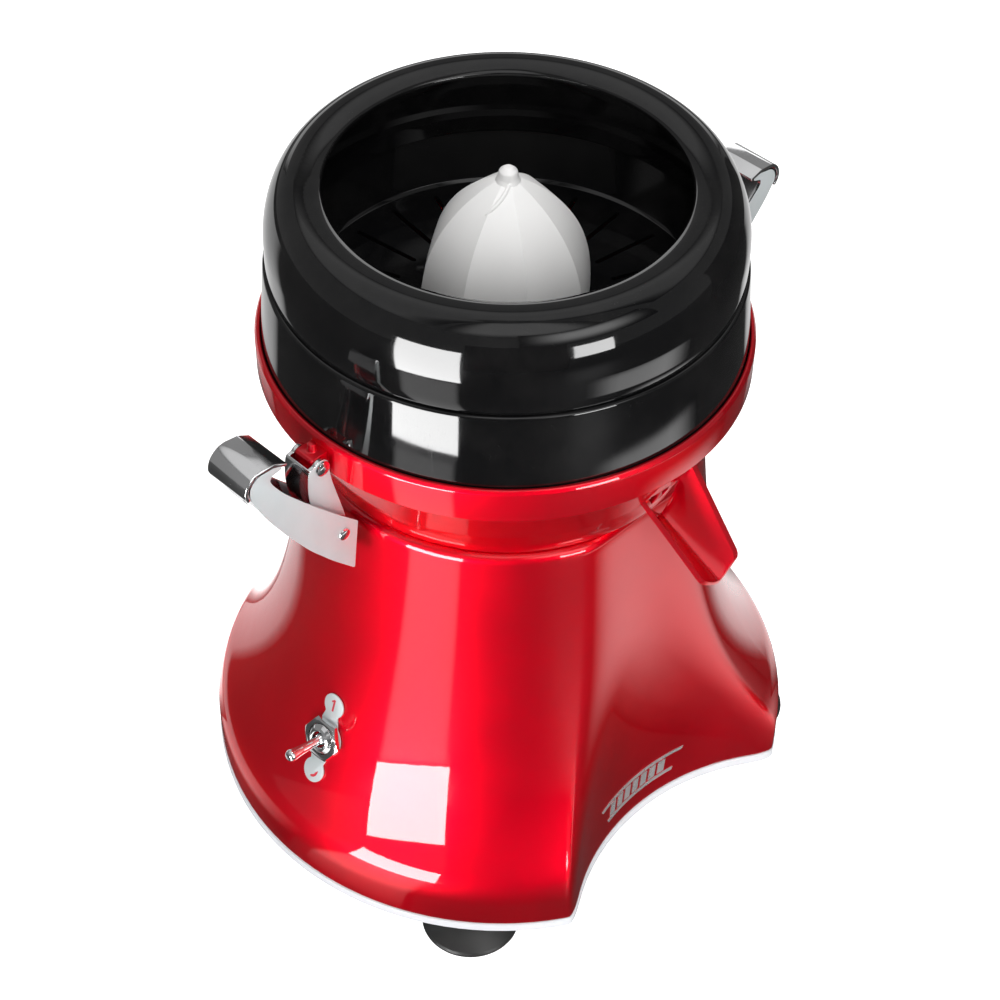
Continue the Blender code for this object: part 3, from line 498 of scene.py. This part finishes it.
def scoop_radius(angle, level):
    centre = SCOOP_CENTRE - SCOOP_LEAN * (level - FOOT_HEIGHT)
    reach = SCOOP_RADIUS ** 2 - (centre * math.sin(angle)) ** 2
    if reach <= 0.0 or math.cos(angle) <= 0.0:
        return 2.0 * SKIRT_RADIUS
    return centre * math.cos(angle) - math.sqrt(reach)


def housing_radius(angle, level):
    return blend_min(bell_radius(level), scoop_radius(angle, level), RIDGE_BLEND)


def base_angles():
    """Directions counted from the spout, three times as close across the recess."""
    limit = math.radians(44.0)
    fine = BASE_STEPS * 3 // 5
    coarse = BASE_STEPS - fine
    near = [-limit + 2.0 * limit * i / fine for i in range(fine)]
    return near + [limit + (TAU - 2.0 * limit) * i / coarse for i in range(coarse)]


def base_loop(inset, level, height=None):
    z = level if height is None else height
    points = []
    for angle in base_angles():
        radius = housing_radius(angle, level) - inset
        a = SPOUT_ANGLE + angle
        points.append((radius * math.cos(a), radius * math.sin(a), z))
    return points


def make_housing():
    top = DECK_TOP - DECK_EDGE
    sections = [base_loop(0.7, BODY_BOTTOM), base_loop(0.15, BODY_BOTTOM + 0.25),
                base_loop(0.0, BODY_BOTTOM + 0.9)]
    steps = 64
    first = BODY_BOTTOM + 2.0
    for i in range(steps + 1):
        sections.append(base_loop(0.0, first + (top - first) * (i / steps) ** 1.15))
    for inset, lift in arc((DECK_EDGE, 0.0), DECK_EDGE, 165.0, 90.0, 6):
        sections.append(base_loop(inset, top, top + lift))
    directions = [SPOUT_ANGLE + angle for angle in base_angles()]
    ring = [(SHAFT_HOLE_RADIUS * math.cos(a), SHAFT_HOLE_RADIUS * math.sin(a)) for a in directions]
    ceiling = DECK_TOP - WALL - 1.0
    sections += [[(x, y, z) for x, y in ring] for z in (DECK_TOP, ceiling)]
    sections += [base_loop(WALL, z) for z in (ceiling, 104.0, 66.0, 44.0, 33.0, BODY_BOTTOM)]
    piece("housing_shell", loft(sections, False), "base", "red_paint", "body_housing", sharp=50.0)
    strip = [(0.8, FOOT_HEIGHT), (0.1, 11.15), (-0.25, 11.7), (-0.3, 12.4), (-0.3, 14.0),
             (-0.25, 14.7), (0.1, 15.25), (0.8, TRIM_TOP), (4.0, TRIM_TOP), (4.0, FOOT_HEIGHT)]
    loops = [base_loop(inset, FOOT_HEIGHT, z) for inset, z in strip]
    piece("trim_strip", loft(loops, False), "base", "trim_grey", "base_trim_strip", sharp=50.0)


def recess_patch(low, high, lift=0.3, steps=16):
    """A thin sheet on the glass recess between two level lines, each (start x, end x, z)."""
    sections = []
    for i in range(steps + 1):
        edge = []
        for j in range(5):
            start, end, level = [a + (b - a) * j / 4.0 for a, b in zip(low, high)]
            angle = math.atan2(start + (end - start) * i / steps, SCOOP_CENTRE - SCOOP_RADIUS)
            edge.append((SPOUT_ANGLE + angle, housing_radius(angle, level), level))
        ring = [(a, radius + lift, z) for a, radius, z in edge]
        ring += [(a, radius + 0.03, z) for a, radius, z in reversed(edge)]
        sections.append([(radius * math.cos(a), radius * math.sin(a), z) for a, radius, z in ring])
    return loft(sections)


def make_flash():
    """A plain silver trim flash: two level lines with slanted bars between them."""
    parts = [recess_patch((-20.0, 16.6, 24.0), (-20.8, 17.2, 25.6)),
             recess_patch((-24.0, 21.2, 33.4), (-24.8, 22.0, 34.9))]
    bar, gap, slant = 3.3, 1.5, 3.0
    for i in range(7):
        start = -19.4 + i * (bar + gap)
        parts.append(recess_patch((start, start + bar, 26.4),
                                  (start + slant - 2.0, start + bar + slant - 2.0, 32.6), steps=4))
    piece("silver_flash", merged(parts), "base", "chrome", look=STRIPE)


def make_feet():
    top = FOOT_HEIGHT - 0.3
    profile = [(0.0, 4.6), (2.9, 4.6, 0.0), (2.9, top, 0.3), (8.0, top), (9.0, 8.4, 2.0),
               (12.5, 6.2, 8.0), (16.4, 3.4, 8.0), (18.4, 1.9), (FOOT_RADIUS, 1.0),
               (FOOT_RADIUS, 0.0), (17.6, 0.0), (12.0, 2.2), (0.0, 3.2)]
    for index, angle in enumerate(FOOT_ANGLES, 1):
        outline = rounded(profile, 0.5, 4, False)
        piece(f"foot_rubber_{index}", solid_lathe(outline, 64, polar(FOOT_CIRCLE, angle)), "base",
              "rubber", f"suction_foot_{index}")


def make_cord_bushing():
    turn = Matrix.Translation((0.0, 0.0, CORD_LEVEL)) @ Matrix.Rotation(-math.pi / 2.0, 4, "X")
    profile = [(3.4, 104.0), (5.6, 104.0), (5.6, 113.7), (9.0, 113.7), (9.0, 114.6), (6.6, 115.2),
               (3.4, 115.2)]
    piece("cord_grommet", transformed(lathe(rounded(profile, 0.4), 48), turn), "base", "rubber",
          "cord_bushing")


# ---------------------------------------------------------------- switch

def switch_frame():
    slope = bell_radius(SWITCH_LEVEL + 1.0) - bell_radius(SWITCH_LEVEL - 1.0)
    up = Vector((-slope / 2.0, 0.0, 1.0)).normalized()
    out = Vector((-up.z, 0.0, up.x))
    side = up.cross(out)
    made = Matrix((side, up, out)).transposed().to_4x4()
    made.translation = Vector((-bell_radius(SWITCH_LEVEL), SWITCH_OFFSET, SWITCH_LEVEL))
    return made


def on_switch_slope(x, y, lift, bend=0.0):
    """A point over the housing in the switch's frame; `bend` lifts it away from the surface."""
    place = switch_frame()
    point = place @ Vector((x, y, 0.0))
    radius = bell_radius(point.z)
    angle = math.atan2(point.y, point.x)
    skin = Vector((radius * math.cos(angle), radius * math.sin(angle), point.z))
    flat = place.inverted() @ skin
    return place @ Vector((x, y, flat.z + lift + bend))


def slope_patch(outline, low, high):
    return loft([[on_switch_slope(x, y, lift) for x, y in outline] for lift in (low, high)])


def make_switch():
    place = switch_frame()
    tab, reach, hub = 4.9, 15.1, 7.8
    outline = arc((0.0, reach), tab, -50.0, 230.0, 28) + arc((0.0, 0.0), hub, 125.0, 235.0, 10)
    outline += arc((0.0, -reach), tab, 130.0, 410.0, 28) + arc((0.0, 0.0), hub, -55.0, 55.0, 10)
    outline = rounded(outline, 1.6, 2)
    hole = transformed(rod(BUSHING_RADIUS + 0.3, -9.0, 9.0), place)
    # the switch plate takes the same grey steel with a painted reflection
    piece("switch_plate", slope_patch(outline, 0.4, 0.93), "base", "chrome", "legend_plate",
          look=PAINTED_REFLECTION_STEEL, cuts=(hole,), bevel=0.12)
    turns = [TAU * i / 40 for i in range(40)]
    zero = [(2.3 * math.cos(a), 3.0 * math.sin(a) - reach) for a in turns]
    inner = [(1.3 * math.cos(a), 1.9 * math.sin(a) - reach) for a in turns]
    loops = [[on_switch_slope(x, y, lift) for x, y in loop]
             for loop, lift in ((inner, 0.9), (zero, 0.9), (zero, 0.95), (inner, 0.95))]
    piece("digit_zero", loft(loops, False), "base", "chrome", look=DIGIT_RED)
    one = [(-0.45, reach - 2.6), (0.45, reach - 2.6), (0.45, reach + 2.7), (-0.2, reach + 2.7),
           (-1.5, reach + 1.5), (-1.1, reach + 1.0), (-0.45, reach + 1.5)]
    piece("digit_one", slope_patch(one, 0.9, 0.95), "base", "chrome", look=DIGIT_RED)
    thread = BUSHING_RADIUS + 0.3
    hexagon = lathe([(thread, 1.45), (9.1, 1.45), (9.1, 3.3), (thread, 3.3)], 6)
    chamfer = lathe([(8.0, 3.35), (11.0, 1.6), (11.0, 5.0), (8.0, 5.0)], 64)
    bore = rod(BUSHING_RADIUS + 0.25, 0.0, 8.0)
    for shape in (hexagon, chamfer, bore):
        transformed(shape, place)
    piece("dress_nut", hexagon, "base", "chrome", "switch_nut", cuts=(chamfer, bore), bevel=0.2)
    barrel = [(3.2, -4.2), (BUSHING_RADIUS, -4.2), (BUSHING_RADIUS, 3.3, 0.4), (5.6, 3.6, 0.3),
              (4.6, 4.5, 1.0), (3.6, 4.8, 0.3), (3.2, 4.4, 0.3)]
    piece("switch_barrel", transformed(lathe(rounded(barrel, 0.0, 4), 64), place), "base", "chrome",
          "switch_bushing")
    tilt = Matrix.Translation((0.0, 0.0, TOGGLE_PIVOT))
    tilt = tilt @ Matrix.Rotation(math.radians(-TOGGLE_TILT), 4, "X") @ tilt.inverted()
    bat = [(0.0, 0.4), (1.8, 0.7), (2.6, TOGGLE_PIVOT), (1.8, 5.0), (1.65, 8.0), (1.85, 13.0),
           (2.3, 17.0), (2.5, 18.3), (1.8, 19.7), (0.0, 20.0)]
    piece("toggle_bat", transformed(solid_lathe(rounded(bat, 2.0, 5, False), 48), place @ tilt),
          "toggle", "chrome", "toggle_lever")


# ---------------------------------------------------------------- bowl and spout

def spout_profile(distance):
    t = (distance - SPOUT_START) / (SPOUT_TIP - SPOUT_START)
    floor = SPOUT_FLOOR - SPOUT_SLOPE * (distance - SPOUT_START)
    top = 199.5 - 27.5 * max(t - 0.12, 0.0) / 0.88
    return floor, top, 13.5 - 5.2 * t


def trough_section(distance, grow, raise_top):
    floor, top, half = spout_profile(distance)
    steps = 14
    points = []
    for i in range(-steps, steps + 1):
        s = i / steps
        z = floor - grow + (top + raise_top - floor + grow) * abs(s) ** 1.35
        points.append((s * (half + grow), -distance, z))
    return points


def stations(start, end, count):
    return [start + (end - start) * i / count for i in range(count + 1)]


def make_bowl():
    profile = [(9.3, 179.5), (9.3, 220.0), (12.0, 220.0), (12.0, 185.0, 3.0), (69.5, 182.4, 4.0),
               (72.4, 183.4, 3.0), (75.8, 190.6, 8.0), (84.6, 207.6, 1.5), (84.8, BOWL_LEDGE, 0.3),
               (87.4, BOWL_LEDGE, 0.3), (87.4, BOWL_RIM - 0.1, 0.5), (88.6, BOWL_RIM, 0.8),
               (RIM_RADIUS, 220.6, 1.2), (RIM_RADIUS - 0.1, BOWL_BAND, 0.9),
               (87.9, BOWL_BAND - 0.4, 0.6), (79.4, 190.5, 0.6), (78.3, 189.6, 0.6),
               (75.2, 182.6, 6.0), (72.5, BOWL_BOTTOM, 0.6), (70.2, BOWL_BOTTOM, 0.6),
               (70.4, 179.5)]
    outer = [trough_section(d, SPOUT_WALL, 0.0) for d in stations(SPOUT_START + 6.5, 105.2, 8)]
    outer.append(trough_section(106.2, SPOUT_WALL - 0.25, -0.25))
    outer.append(trough_section(SPOUT_TIP, SPOUT_WALL - 0.9, -0.8))
    inner = [trough_section(d, 0.0, 0.02) for d in stations(SPOUT_START + 5.0, SPOUT_TIP + 3.0, 8)]
    windows = []
    for side in (-1.0, 1.0):
        low = [(side * 1.3, 183.2), (side * 2.2, 183.2), (side * 10.4, 196.5), (side * 1.3, 196.5)]
        windows.append(loft([[(x, y, z) for x, z in low] for y in (-71.0, -86.5)]))
    piece("bowl_shell", lathe(rounded(profile, 0.6), ROUND_STEPS), "bowl", "red_paint", "juice_bowl",
          joins=[loft(outer)], cuts=[loft(inner)] + windows, bevel=0.35, sharp=34.0)
    for side, name in ((-1.0, "left"), (1.0, "right")):
        block = [(88.6, 208.8), (95.6, 208.8), (96.9, 210.0), (96.9, 217.2), (96.0, 218.1),
                 (88.6, 218.1)]
        lug = side_plate(block, -LUG_HALF_WIDTH, LUG_HALF_WIDTH, side)
        stub = rounded([(0.0, 217.0), (1.8, 217.0), (1.5, 221.0), (0.0, 221.6)], 0.6, 4, False)
        nub = solid_lathe(stub, 24, (side * 92.6, 0.0))
        piece(f"bowl_lug_{name}", lug, "bowl", "red_paint", joins=[nub], bevel=0.45)
    seam = [(spout_profile(d)[0] + 0.06, d) for d in stations(86.0, SPOUT_TIP - 1.5, 10)]
    weld = ((-0.35, 0.0), (-0.15, 0.28), (0.15, 0.28), (0.35, 0.0), (0.0, -0.3))
    ridge = loft([[(x, -d, z + h) for x, h in weld] for z, d in seam])
    piece("spout_seam", ridge, "bowl", "red_paint")


# ---------------------------------------------------------------- strainer, ring, cone

def make_strainer():
    profile = [(6.6, 224.3), (6.6, 231.0), (11.0, 231.0), (11.6, 228.0, 1.0),
               (13.5, STRAINER_FLOOR, 2.0), (73.2, STRAINER_FLOOR, 1.0), (74.4, 228.2, 1.0),
               (80.4, 245.0, 2.0), (80.6, SEAM, 0.3), (85.0, SEAM, 1.4),
               (BAND_RADIUS, BOWL_RIM + 0.1, 0.5),
               (BAND_RADIUS, BOWL_LEDGE + 0.3, 0.4), (84.9, BOWL_LEDGE + 0.3, 0.4), (83.5, 239.0),
               (80.9, 239.0), (76.6, 227.6, 2.0), (75.2, 224.3, 1.0)]
    inner, outer = SLOT_RADII
    half = SLOT_WIDTH / 2.0
    slots = []
    for i in range(SLOT_COUNT):
        ends = arc((outer, 0.0), half, -90.0, 90.0, 5) + arc((inner, 0.0), half, 90.0, 270.0, 5)
        cut = loft([[(x, y, z) for x, y in ends] for z in (220.0, 232.0)])
        slots.append(transformed(cut, Matrix.Rotation(TAU * (i + 0.5) / SLOT_COUNT, 4, "Z")))
    piece("strainer_shell", lathe(rounded(profile, 0.3), ROUND_STEPS), "strainer", "black_plastic",
          "strainer_basket", cuts=(merged(slots),))


def make_splash_ring():
    outer = [(83.7, SEAM + 0.35), (84.1, 252.4), (84.2, 256.0)]
    outer += [(72.0 + 12.2 * math.cos(a), 262.0 + 22.3 * math.sin(a))
              for a in (math.radians(4.0 * d) for d in range(1, 23))]
    lip = [(67.0, 283.9), (64.4, 283.2), (63.5, 282.4), (63.2, 281.4), (63.5, 280.7), (64.6, 280.5)]
    inner = [(68.0, 280.7), (72.0, 280.0), (75.4, 277.6), (77.8, 274.6), (80.0, 270.0),
             (81.2, 264.0)]
    spigot = [(81.3, 254.0), (77.9, 253.6), (77.9, 247.0), (80.1, 247.0), (80.2, SEAM + 0.35)]
    piece("ring_shell", lathe(outer + lip + inner + spigot, ROUND_STEPS), "splash", "black_plastic",
          "splash_ring", sharp=40.0)


def cone_radius(level):
    t = (level - CONE_BASE) / (CONE_TOP - CONE_BASE)
    return CONE_RADIUS * max(1.0 - t ** 2.6, 0.0) ** 0.8


def cone_section(level, inset=0.0):
    per_ridge = 12
    count = CONE_RIDGES * per_ridge
    points = []
    for i in range(count):
        phase = (i % per_ridge) / per_ridge
        dip = 1.0 - 0.065 * math.sin(math.pi * phase) ** 0.8
        a = math.radians(FIRST_RIDGE) + TAU * i / count
        radius = (cone_radius(level) - inset) * dip
        points.append((radius * math.cos(a), radius * math.sin(a), level))
    return points


def make_cone():
    levels = [CONE_BASE + 53.2 * (1.0 - (1.0 - i / 40) ** 1.6) for i in range(41)]
    shell = loft([cone_section(CONE_BASE, 0.5), cone_section(CONE_BASE + 0.4)] +
                 [cone_section(z) for z in levels if z > CONE_BASE + 0.6])
    tip = [(0.0, 279.0), (4.9, 279.0), (4.6, 282.5, 2.0), (3.7, 284.6, 1.5), (3.2, 287.0, 1.5),
           (1.6, 288.4, 1.0), (0.0, 288.5)]
    nub = solid_lathe(rounded(tip, 1.0, 4, False), 40)
    socket = solid_lathe([(0.0, 229.0), (5.5, 229.0), (5.5, 263.0), (0.0, 263.0)], 6)
    piece("reamer_shell", shell, "cone", "cone_white", "reamer_cone", joins=(nub,), cuts=(socket,),
          sharp=24.0)
    piece("reamer_bead", cone_bead(), "cone", "cone_white")


def cone_bead():
    """A raised moulding line that curls from the tip down to one of the ridges."""
    steps, sides, half = 18, 10, 0.75
    sections = []
    for i in range(steps + 1):
        t = i / steps
        radius = 3.4 + 10.0 * t
        a = math.radians(-128.0 - 41.0 * t ** 0.8)
        climb = (1.0 - (radius / CONE_RADIUS) ** 1.25) ** (1.0 / 2.6)
        level = min(CONE_BASE + (CONE_TOP - CONE_BASE) * climb, 283.4) - 0.05
        size = half * min(1.0, 0.35 + 4.0 * (1.0 - t))
        loop = []
        for j in range(sides):
            turn = TAU * j / sides
            shift = size * math.cos(turn)
            x = radius * math.cos(a) - math.sin(a) * shift
            y = radius * math.sin(a) + math.cos(a) * shift
            loop.append((x, y, level + size * math.sin(turn)))
        sections.append(loop)
    return loft(sections)


# ---------------------------------------------------------------- latches

def link_outline():
    r, z = LUG_PIVOT
    low_r, low_z = LEVER_PIVOT
    outline = arc((r + 0.6, z), 3.7, 170.0, 40.0, 10)
    outline += [(99.4, 216.2, 3.0), (100.2, 212.0, 99.0), (100.4, 206.0, 99.0), (99.6, 200.0, 99.0),
                (97.0, 192.0, 99.0)]
    outline += arc((low_r, low_z), 4.8, -10.0, -170.0, 10)
    return rounded(outline + [(84.6, 187.0, 99.0), (90.0, 207.6, 99.0)], 0.0, 6)


def link_cutter():
    inner = [(98.7, 218.0), (98.8, 212.0, 99.0), (99.0, 206.0, 99.0), (98.2, 200.2, 99.0),
             (95.6, 192.4, 99.0), (93.0, 170.0)]
    return rounded(inner + [(70.0, 170.0), (70.0, 230.0), (98.7, 230.0)], 0.0, 6)


LEVER_LOWER = [(93.6, 171.5), (103.7, 183.8), (113.4, 198.1), (121.3, 211.0), (126.0, 220.6)]
LEVER_UPPER = [(118.0, 225.2), (114.0, 218.8), (108.6, 212.3), (99.4, 201.5), (89.9, 191.5)]


def lever_outline():
    lower = [(83.7, 160.9, 0.6)] + [point + (99.0,) for point in LEVER_LOWER]
    lower += [(127.5, 226.0, 99.0)]
    grip = arc((121.9, 226.8), 5.6, 10.0, 100.0, 10)
    claw = [(117.2, 232.2, 0.5), (113.5, 230.8, 0.3), (113.7, 229.6, 0.3), (117.9, 229.0, 0.5),
            (118.8, 227.4, 1.0)]
    upper = [point + (99.0,) for point in LEVER_UPPER]
    return rounded(lower + grip + claw + upper + [(81.4, 182.9, 1.5), (82.7, 171.2, 99.0)], 0.0, 6)


def lever_cutter():
    inner = [(80.0, 160.0), (85.1, 164.9), (92.6, 172.6, 99.0), (102.6, 184.7, 99.0),
             (112.2, 198.9, 99.0), (120.0, 211.7, 99.0), (124.7, 221.2, 99.0), (126.1, 226.2, 99.0)]
    roof = arc((121.9, 226.8), 4.0, 10.0, 100.0, 8)
    tail = [(113.0, 229.5), (100.0, 240.0), (70.0, 240.0), (70.0, 160.0)]
    return rounded(inner + roof + tail, 0.0, 6)


def grip_outline():
    centre = (122.2, 227.2)
    outside = [(128.8, 224.2, 0.3)] + arc(centre, 7.5, -6.0, 95.0, 16)
    outside += [(116.4, 233.9, 2.0), (111.2, 230.8, 0.5)]
    inside = [(112.0, 229.8, 0.4), (116.8, 232.5, 2.0)] + arc(centre, 6.1, 95.0, -6.0, 16)
    return rounded(outside + inside + [(127.5, 224.6, 0.3)], 0.0, 5)


def chrome_inside_painted_reflection_cheeks(item, half):
    """Keeps the painted grey reflection on the two outer cheeks only; webs and insides are bright
    chrome.
    """
    item.data.materials.append(LOOKS["chrome"])
    for face in item.data.polygons:
        outer = abs(face.center.y) > (half - 0.4) * MM and abs(face.normal.y) > 0.8
        # outer cheeks take the painted grey reflection, every other face plain chrome
        face.material_index = 0 if outer else 1


def across(profile, place, steps=32):
    turn = Matrix.Translation((place[0], 0.0, place[1])) @ Matrix.Rotation(math.pi / 2.0, 4, "X")
    return transformed(solid_lathe(profile, steps), turn)


def pin(radius, head, half, dome):
    """A pin with a domed head at each end, as a profile along its own axis."""
    cap = [(head, half), (head * 0.94, half + dome * 0.5), (head * 0.7, half + dome * 0.85),
           (head * 0.35, half + dome), (0.0, half + dome)]
    lower = [(r, -z) for r, z in reversed(cap)]
    return lower + [(radius, -half), (radius, half)] + cap


def make_latch(side, name):
    lug = (side * LUG_PIVOT[0], LUG_PIVOT[1])
    low = (side * LEVER_PIVOT[0], LEVER_PIVOT[1])
    half = LINK_HALF_WIDTH
    piece(f"lug_pin_domed_{name}", across(pin(1.9, 3.0, half + 0.3, 1.0), lug), "bowl",
          "chrome", f"lug_pin_{name}")
    pocket = side_plate(link_cutter(), SHEET - half, half - SHEET, side)
    # link and lever cheeks carry a painted grey reflection; their webs and insides stay chrome
    link = piece(f"link_{name}", side_plate(link_outline(), -half, half, side), f"link_{name}",
                 "chrome", f"latch_link_{name}", look=PAINTED_REFLECTION_STEEL, cuts=[pocket], bevel=0.3)
    chrome_inside_painted_reflection_cheeks(link, half)
    piece(f"rivet_{name}", across(pin(1.8, 2.4, LEVER_HALF_WIDTH + 0.3, 0.7), low), f"link_{name}",
          "chrome", f"lever_rivet_{name}")
    inside = LEVER_HALF_WIDTH - SHEET
    blank = side_plate(lever_outline(), -LEVER_HALF_WIDTH, LEVER_HALF_WIDTH, side)
    hollow = side_plate(lever_cutter(), -inside, inside, side)
    grip = side_plate(grip_outline(), -LEVER_HALF_WIDTH - 0.25, LEVER_HALF_WIDTH + 0.25, side)
    pivot = Matrix.Translation((low[0], 0.0, low[1]))
    swing = Matrix.Rotation(side * math.radians(LEVER_SWING[name]), 4, "Y")
    for shape in (blank, hollow, grip):
        transformed(shape, pivot @ swing @ pivot.inverted())
    # the lever's outer cheeks also carry the painted grey reflection
    lever = piece(f"lever_{name}", blank, f"lever_{name}", "chrome", f"latch_lever_{name}",
                  look=PAINTED_REFLECTION_STEEL, cuts=[hollow], bevel=0.3)
    chrome_inside_painted_reflection_cheeks(lever, LEVER_HALF_WIDTH)
    piece(f"grip_{name}", grip, f"lever_{name}", "chrome", bevel=0.3)


# ---------------------------------------------------------------- frame pieces that stay

def dress_frame():
    """Every CAD node that isn't replaced takes its slot's material."""
    slots = {part["node"]: part["material_slot"] for part in frame["record"]["subparts"]}
    for name, item in frame["nodes"].items():
        item.data.materials.clear()
        item.data.materials.append(LOOKS[slots[name]])


# ---------------------------------------------------------------- studio

# Lights that model the shapes; they aren't seen in reflections.
LIGHTS = (
    ("key_light", (-0.9, -1.0, 0.9), (0.0, 0.0, 0.12), (1.0, 1.0), 11.0),
    ("top_light", (-0.1, -0.35, 1.7), (0.0, 0.0, 0.1), (1.4, 1.4), 19.0),
    ("back_light", (0.2, 1.3, 1.0), (0.0, 0.0, 0.1), (1.2, 1.0), 4.0),
)
# Cards that only reflections see. Each runs between two compass directions, in degrees, and
# between two places given as distance from the machine's axis and level, in metres. The last
# two values are its brightness and the share of its width over which each edge fades.
CARDS = (
    ("dark_table_card", 0.0, 360.0, (0.0, -0.00015), (3.0, -0.00015), 0.04, 0.0),
    ("table_back_card", 60.0, 174.0, (0.125, -0.0001), (0.21, -0.0001), 1.0, 0.2),
    ("table_shoulder_card", 70.0, 135.0, (0.115, -0.00005), (0.165, -0.00005), 3.6, 0.25),
    ("table_right_card", -80.0, -28.0, (0.125, -0.0001), (0.3, -0.0001), 1.5, 0.4),
    ("table_spout_card", -34.0, 0.0, (0.125, -0.00005), (0.2, -0.00005), 1.2, 0.3),
    ("table_front_card", -102.0, -48.0, (0.32, -0.0001), (0.42, -0.0001), 2.2, 0.3),
    ("table_left_card", 179.0, 206.0, (0.125, -0.0001), (0.45, -0.0001), 1.4, 0.1),
    ("table_far_card", -5.0, 110.0, (0.24, -0.0001), (1.4, -0.0001), 1.0, 0.05),
    ("left_softbox_card", 179.0, 206.5, (0.455, 0.0), (2.2, 0.36), 19.5, 0.0),
    ("front_softbox_card", -108.0, -91.0, (0.9, 0.16), (0.9, 0.4), 15.0, 0.0),
    ("front_haze_card", -130.0, -68.0, (0.9, 0.5), (0.9, 1.05), 3.2, 0.4),
    ("dark_gap_card", 208.0, 250.0, (0.85, -0.0001), (0.85, 0.5), 0.03, 0.0),
    ("dark_right_card", -40.0, 12.0, (0.85, 0.0), (0.85, 0.5), 0.03, 0.0),
    ("back_wall_card", 16.0, 82.0, (1.2, 0.3), (1.2, 0.62), 1.4, 0.1),
    ("upper_left_card", 195.0, 272.0, (1.0, 0.95), (0.1, 1.6), 1.2, 0.2),
    ("upper_back_card", -60.0, 190.0, (1.1, 1.1), (0.1, 1.7), 0.6, 0.1),
)


def emitter(name, bm, strength):
    """A glowing sheet for the studio; its brightness follows the mesh's own glow values."""
    mesh = bpy.data.meshes.new(name)
    bm.to_mesh(mesh)
    bm.free()
    made = bpy.data.objects.new(name, mesh)
    bpy.context.scene.collection.objects.link(made)
    look = bpy.data.materials.new(name)
    look.use_nodes = True
    tree = look.node_tree
    shader = tree.nodes["Principled BSDF"]
    shader.inputs["Base Color"].default_value = (0.0, 0.0, 0.0, 1.0)
    shader.inputs["Emission Color"].default_value = (1.0, 1.0, 1.0, 1.0)
    glow = tree.nodes.new("ShaderNodeAttribute")
    glow.attribute_name = "glow"
    scaled = tree.nodes.new("ShaderNodeMath")
    scaled.operation = "MULTIPLY"
    scaled.inputs[1].default_value = strength
    tree.links.new(glow.outputs["Fac"], scaled.inputs[0])
    tree.links.new(scaled.outputs["Value"], shader.inputs["Emission Strength"])
    made.data.materials.append(look)
    return made


def fade(share, soft):
    """1 in the middle of a card, falling smoothly to 0 at its edges."""
    if soft == 0.0:
        return 1.0
    edge = min(share, 1.0 - share, soft) / soft
    return edge * edge * (3.0 - 2.0 * edge)


def make_card(name, start, end, near, far, strength, soft):
    """A bright strip, part of a ring round the machine, between two distances and levels."""
    bm = bmesh.new()
    glow = bm.verts.layers.float.new("glow")
    steps = max(round((end - start) / 4.0), 12)
    rows = 12 if soft else 1
    columns = []
    for i in range(steps + 1):
        a = math.radians(start + (end - start) * i / steps)
        column = []
        for j in range(rows + 1):
            r, z = [one + (other - one) * j / rows for one, other in zip(near, far)]
            corner = bm.verts.new((r * math.cos(a), r * math.sin(a), z))
            corner[glow] = fade(i / steps, soft) * fade(j / rows, soft)
            column.append(corner)
        columns.append(column)
    for one, other in zip(columns, columns[1:]):
        for j in range(rows):
            bm.faces.new((one[j], other[j], other[j + 1], one[j + 1]))
    card = emitter(name, bm, strength)
    card.visible_camera = False
    card.visible_diffuse = False
    card.visible_shadow = False


def make_floor():
    bm = bmesh.new()
    bmesh.ops.create_grid(bm, x_segments=2, y_segments=2, size=3.0)
    glow = bm.verts.layers.float.new("glow")
    for corner in bm.verts:
        corner[glow] = 1.0
    floor = emitter("floor", bm, FLOOR_GLOW)
    shader = floor.data.materials[0].node_tree.nodes["Principled BSDF"]
    shader.inputs["Base Color"].default_value = (0.9, 0.9, 0.9, 1.0)
    shader.inputs["Roughness"].default_value = 0.9
    shader.inputs["Specular IOR Level"].default_value = 0.1
    floor.location.z = -0.0002
    floor.visible_glossy = False


def make_light(name, place, aim, size, power):
    light = bpy.data.lights.new(name, "AREA")
    light.shape = "RECTANGLE"
    light.size, light.size_y = size
    light.energy = power
    made = bpy.data.objects.new(name, light)
    made.location = place
    made.rotation_euler = (Vector(aim) - Vector(place)).to_track_quat("-Z", "Y").to_euler()
    made.visible_glossy = False
    bpy.context.scene.collection.objects.link(made)


def make_studio():
    make_floor()
    for light in LIGHTS:
        make_light(*light)
    for card in CARDS:
        make_card(*card)
    world = bpy.data.worlds.new("studio")
    world.use_nodes = True
    back = world.node_tree.nodes["Background"]
    back.inputs["Color"].default_value = (1.0, 1.0, 1.0, 1.0)
    back.inputs["Strength"].default_value = WORLD_LIGHT
    bpy.context.scene.world = world
    bpy.context.scene.view_settings.view_transform = "Standard"


def make_camera():
    data = bpy.data.cameras.new("camera")
    data.lens = CAMERA_LENS
    data.sensor_width = 36.0
    data.clip_end = 20.0
    camera = bpy.data.objects.new("camera", data)
    ahead = (Vector(CAMERA_AIM) - Vector(CAMERA_PLACE)).normalized()
    right = ahead.cross(Vector((0.0, 0.0, 1.0))).normalized()
    up = right.cross(ahead)
    turned = math.cos(CAMERA_ROLL) * right + math.sin(CAMERA_ROLL) * up
    above = math.cos(CAMERA_ROLL) * up - math.sin(CAMERA_ROLL) * right
    place = Matrix((turned, above, -ahead)).transposed().to_4x4()
    place.translation = CAMERA_PLACE
    camera.matrix_world = place
    bpy.context.scene.collection.objects.link(camera)
    bpy.context.scene.camera = camera


dress_frame()
make_housing()
make_flash()
make_feet()
make_cord_bushing()
make_switch()
make_bowl()
make_strainer()
make_splash_ring()
make_cone()
for latch_side, latch_name in ((-1.0, "left"), (1.0, "right")):
    make_latch(latch_side, latch_name)
make_studio()
make_camera()
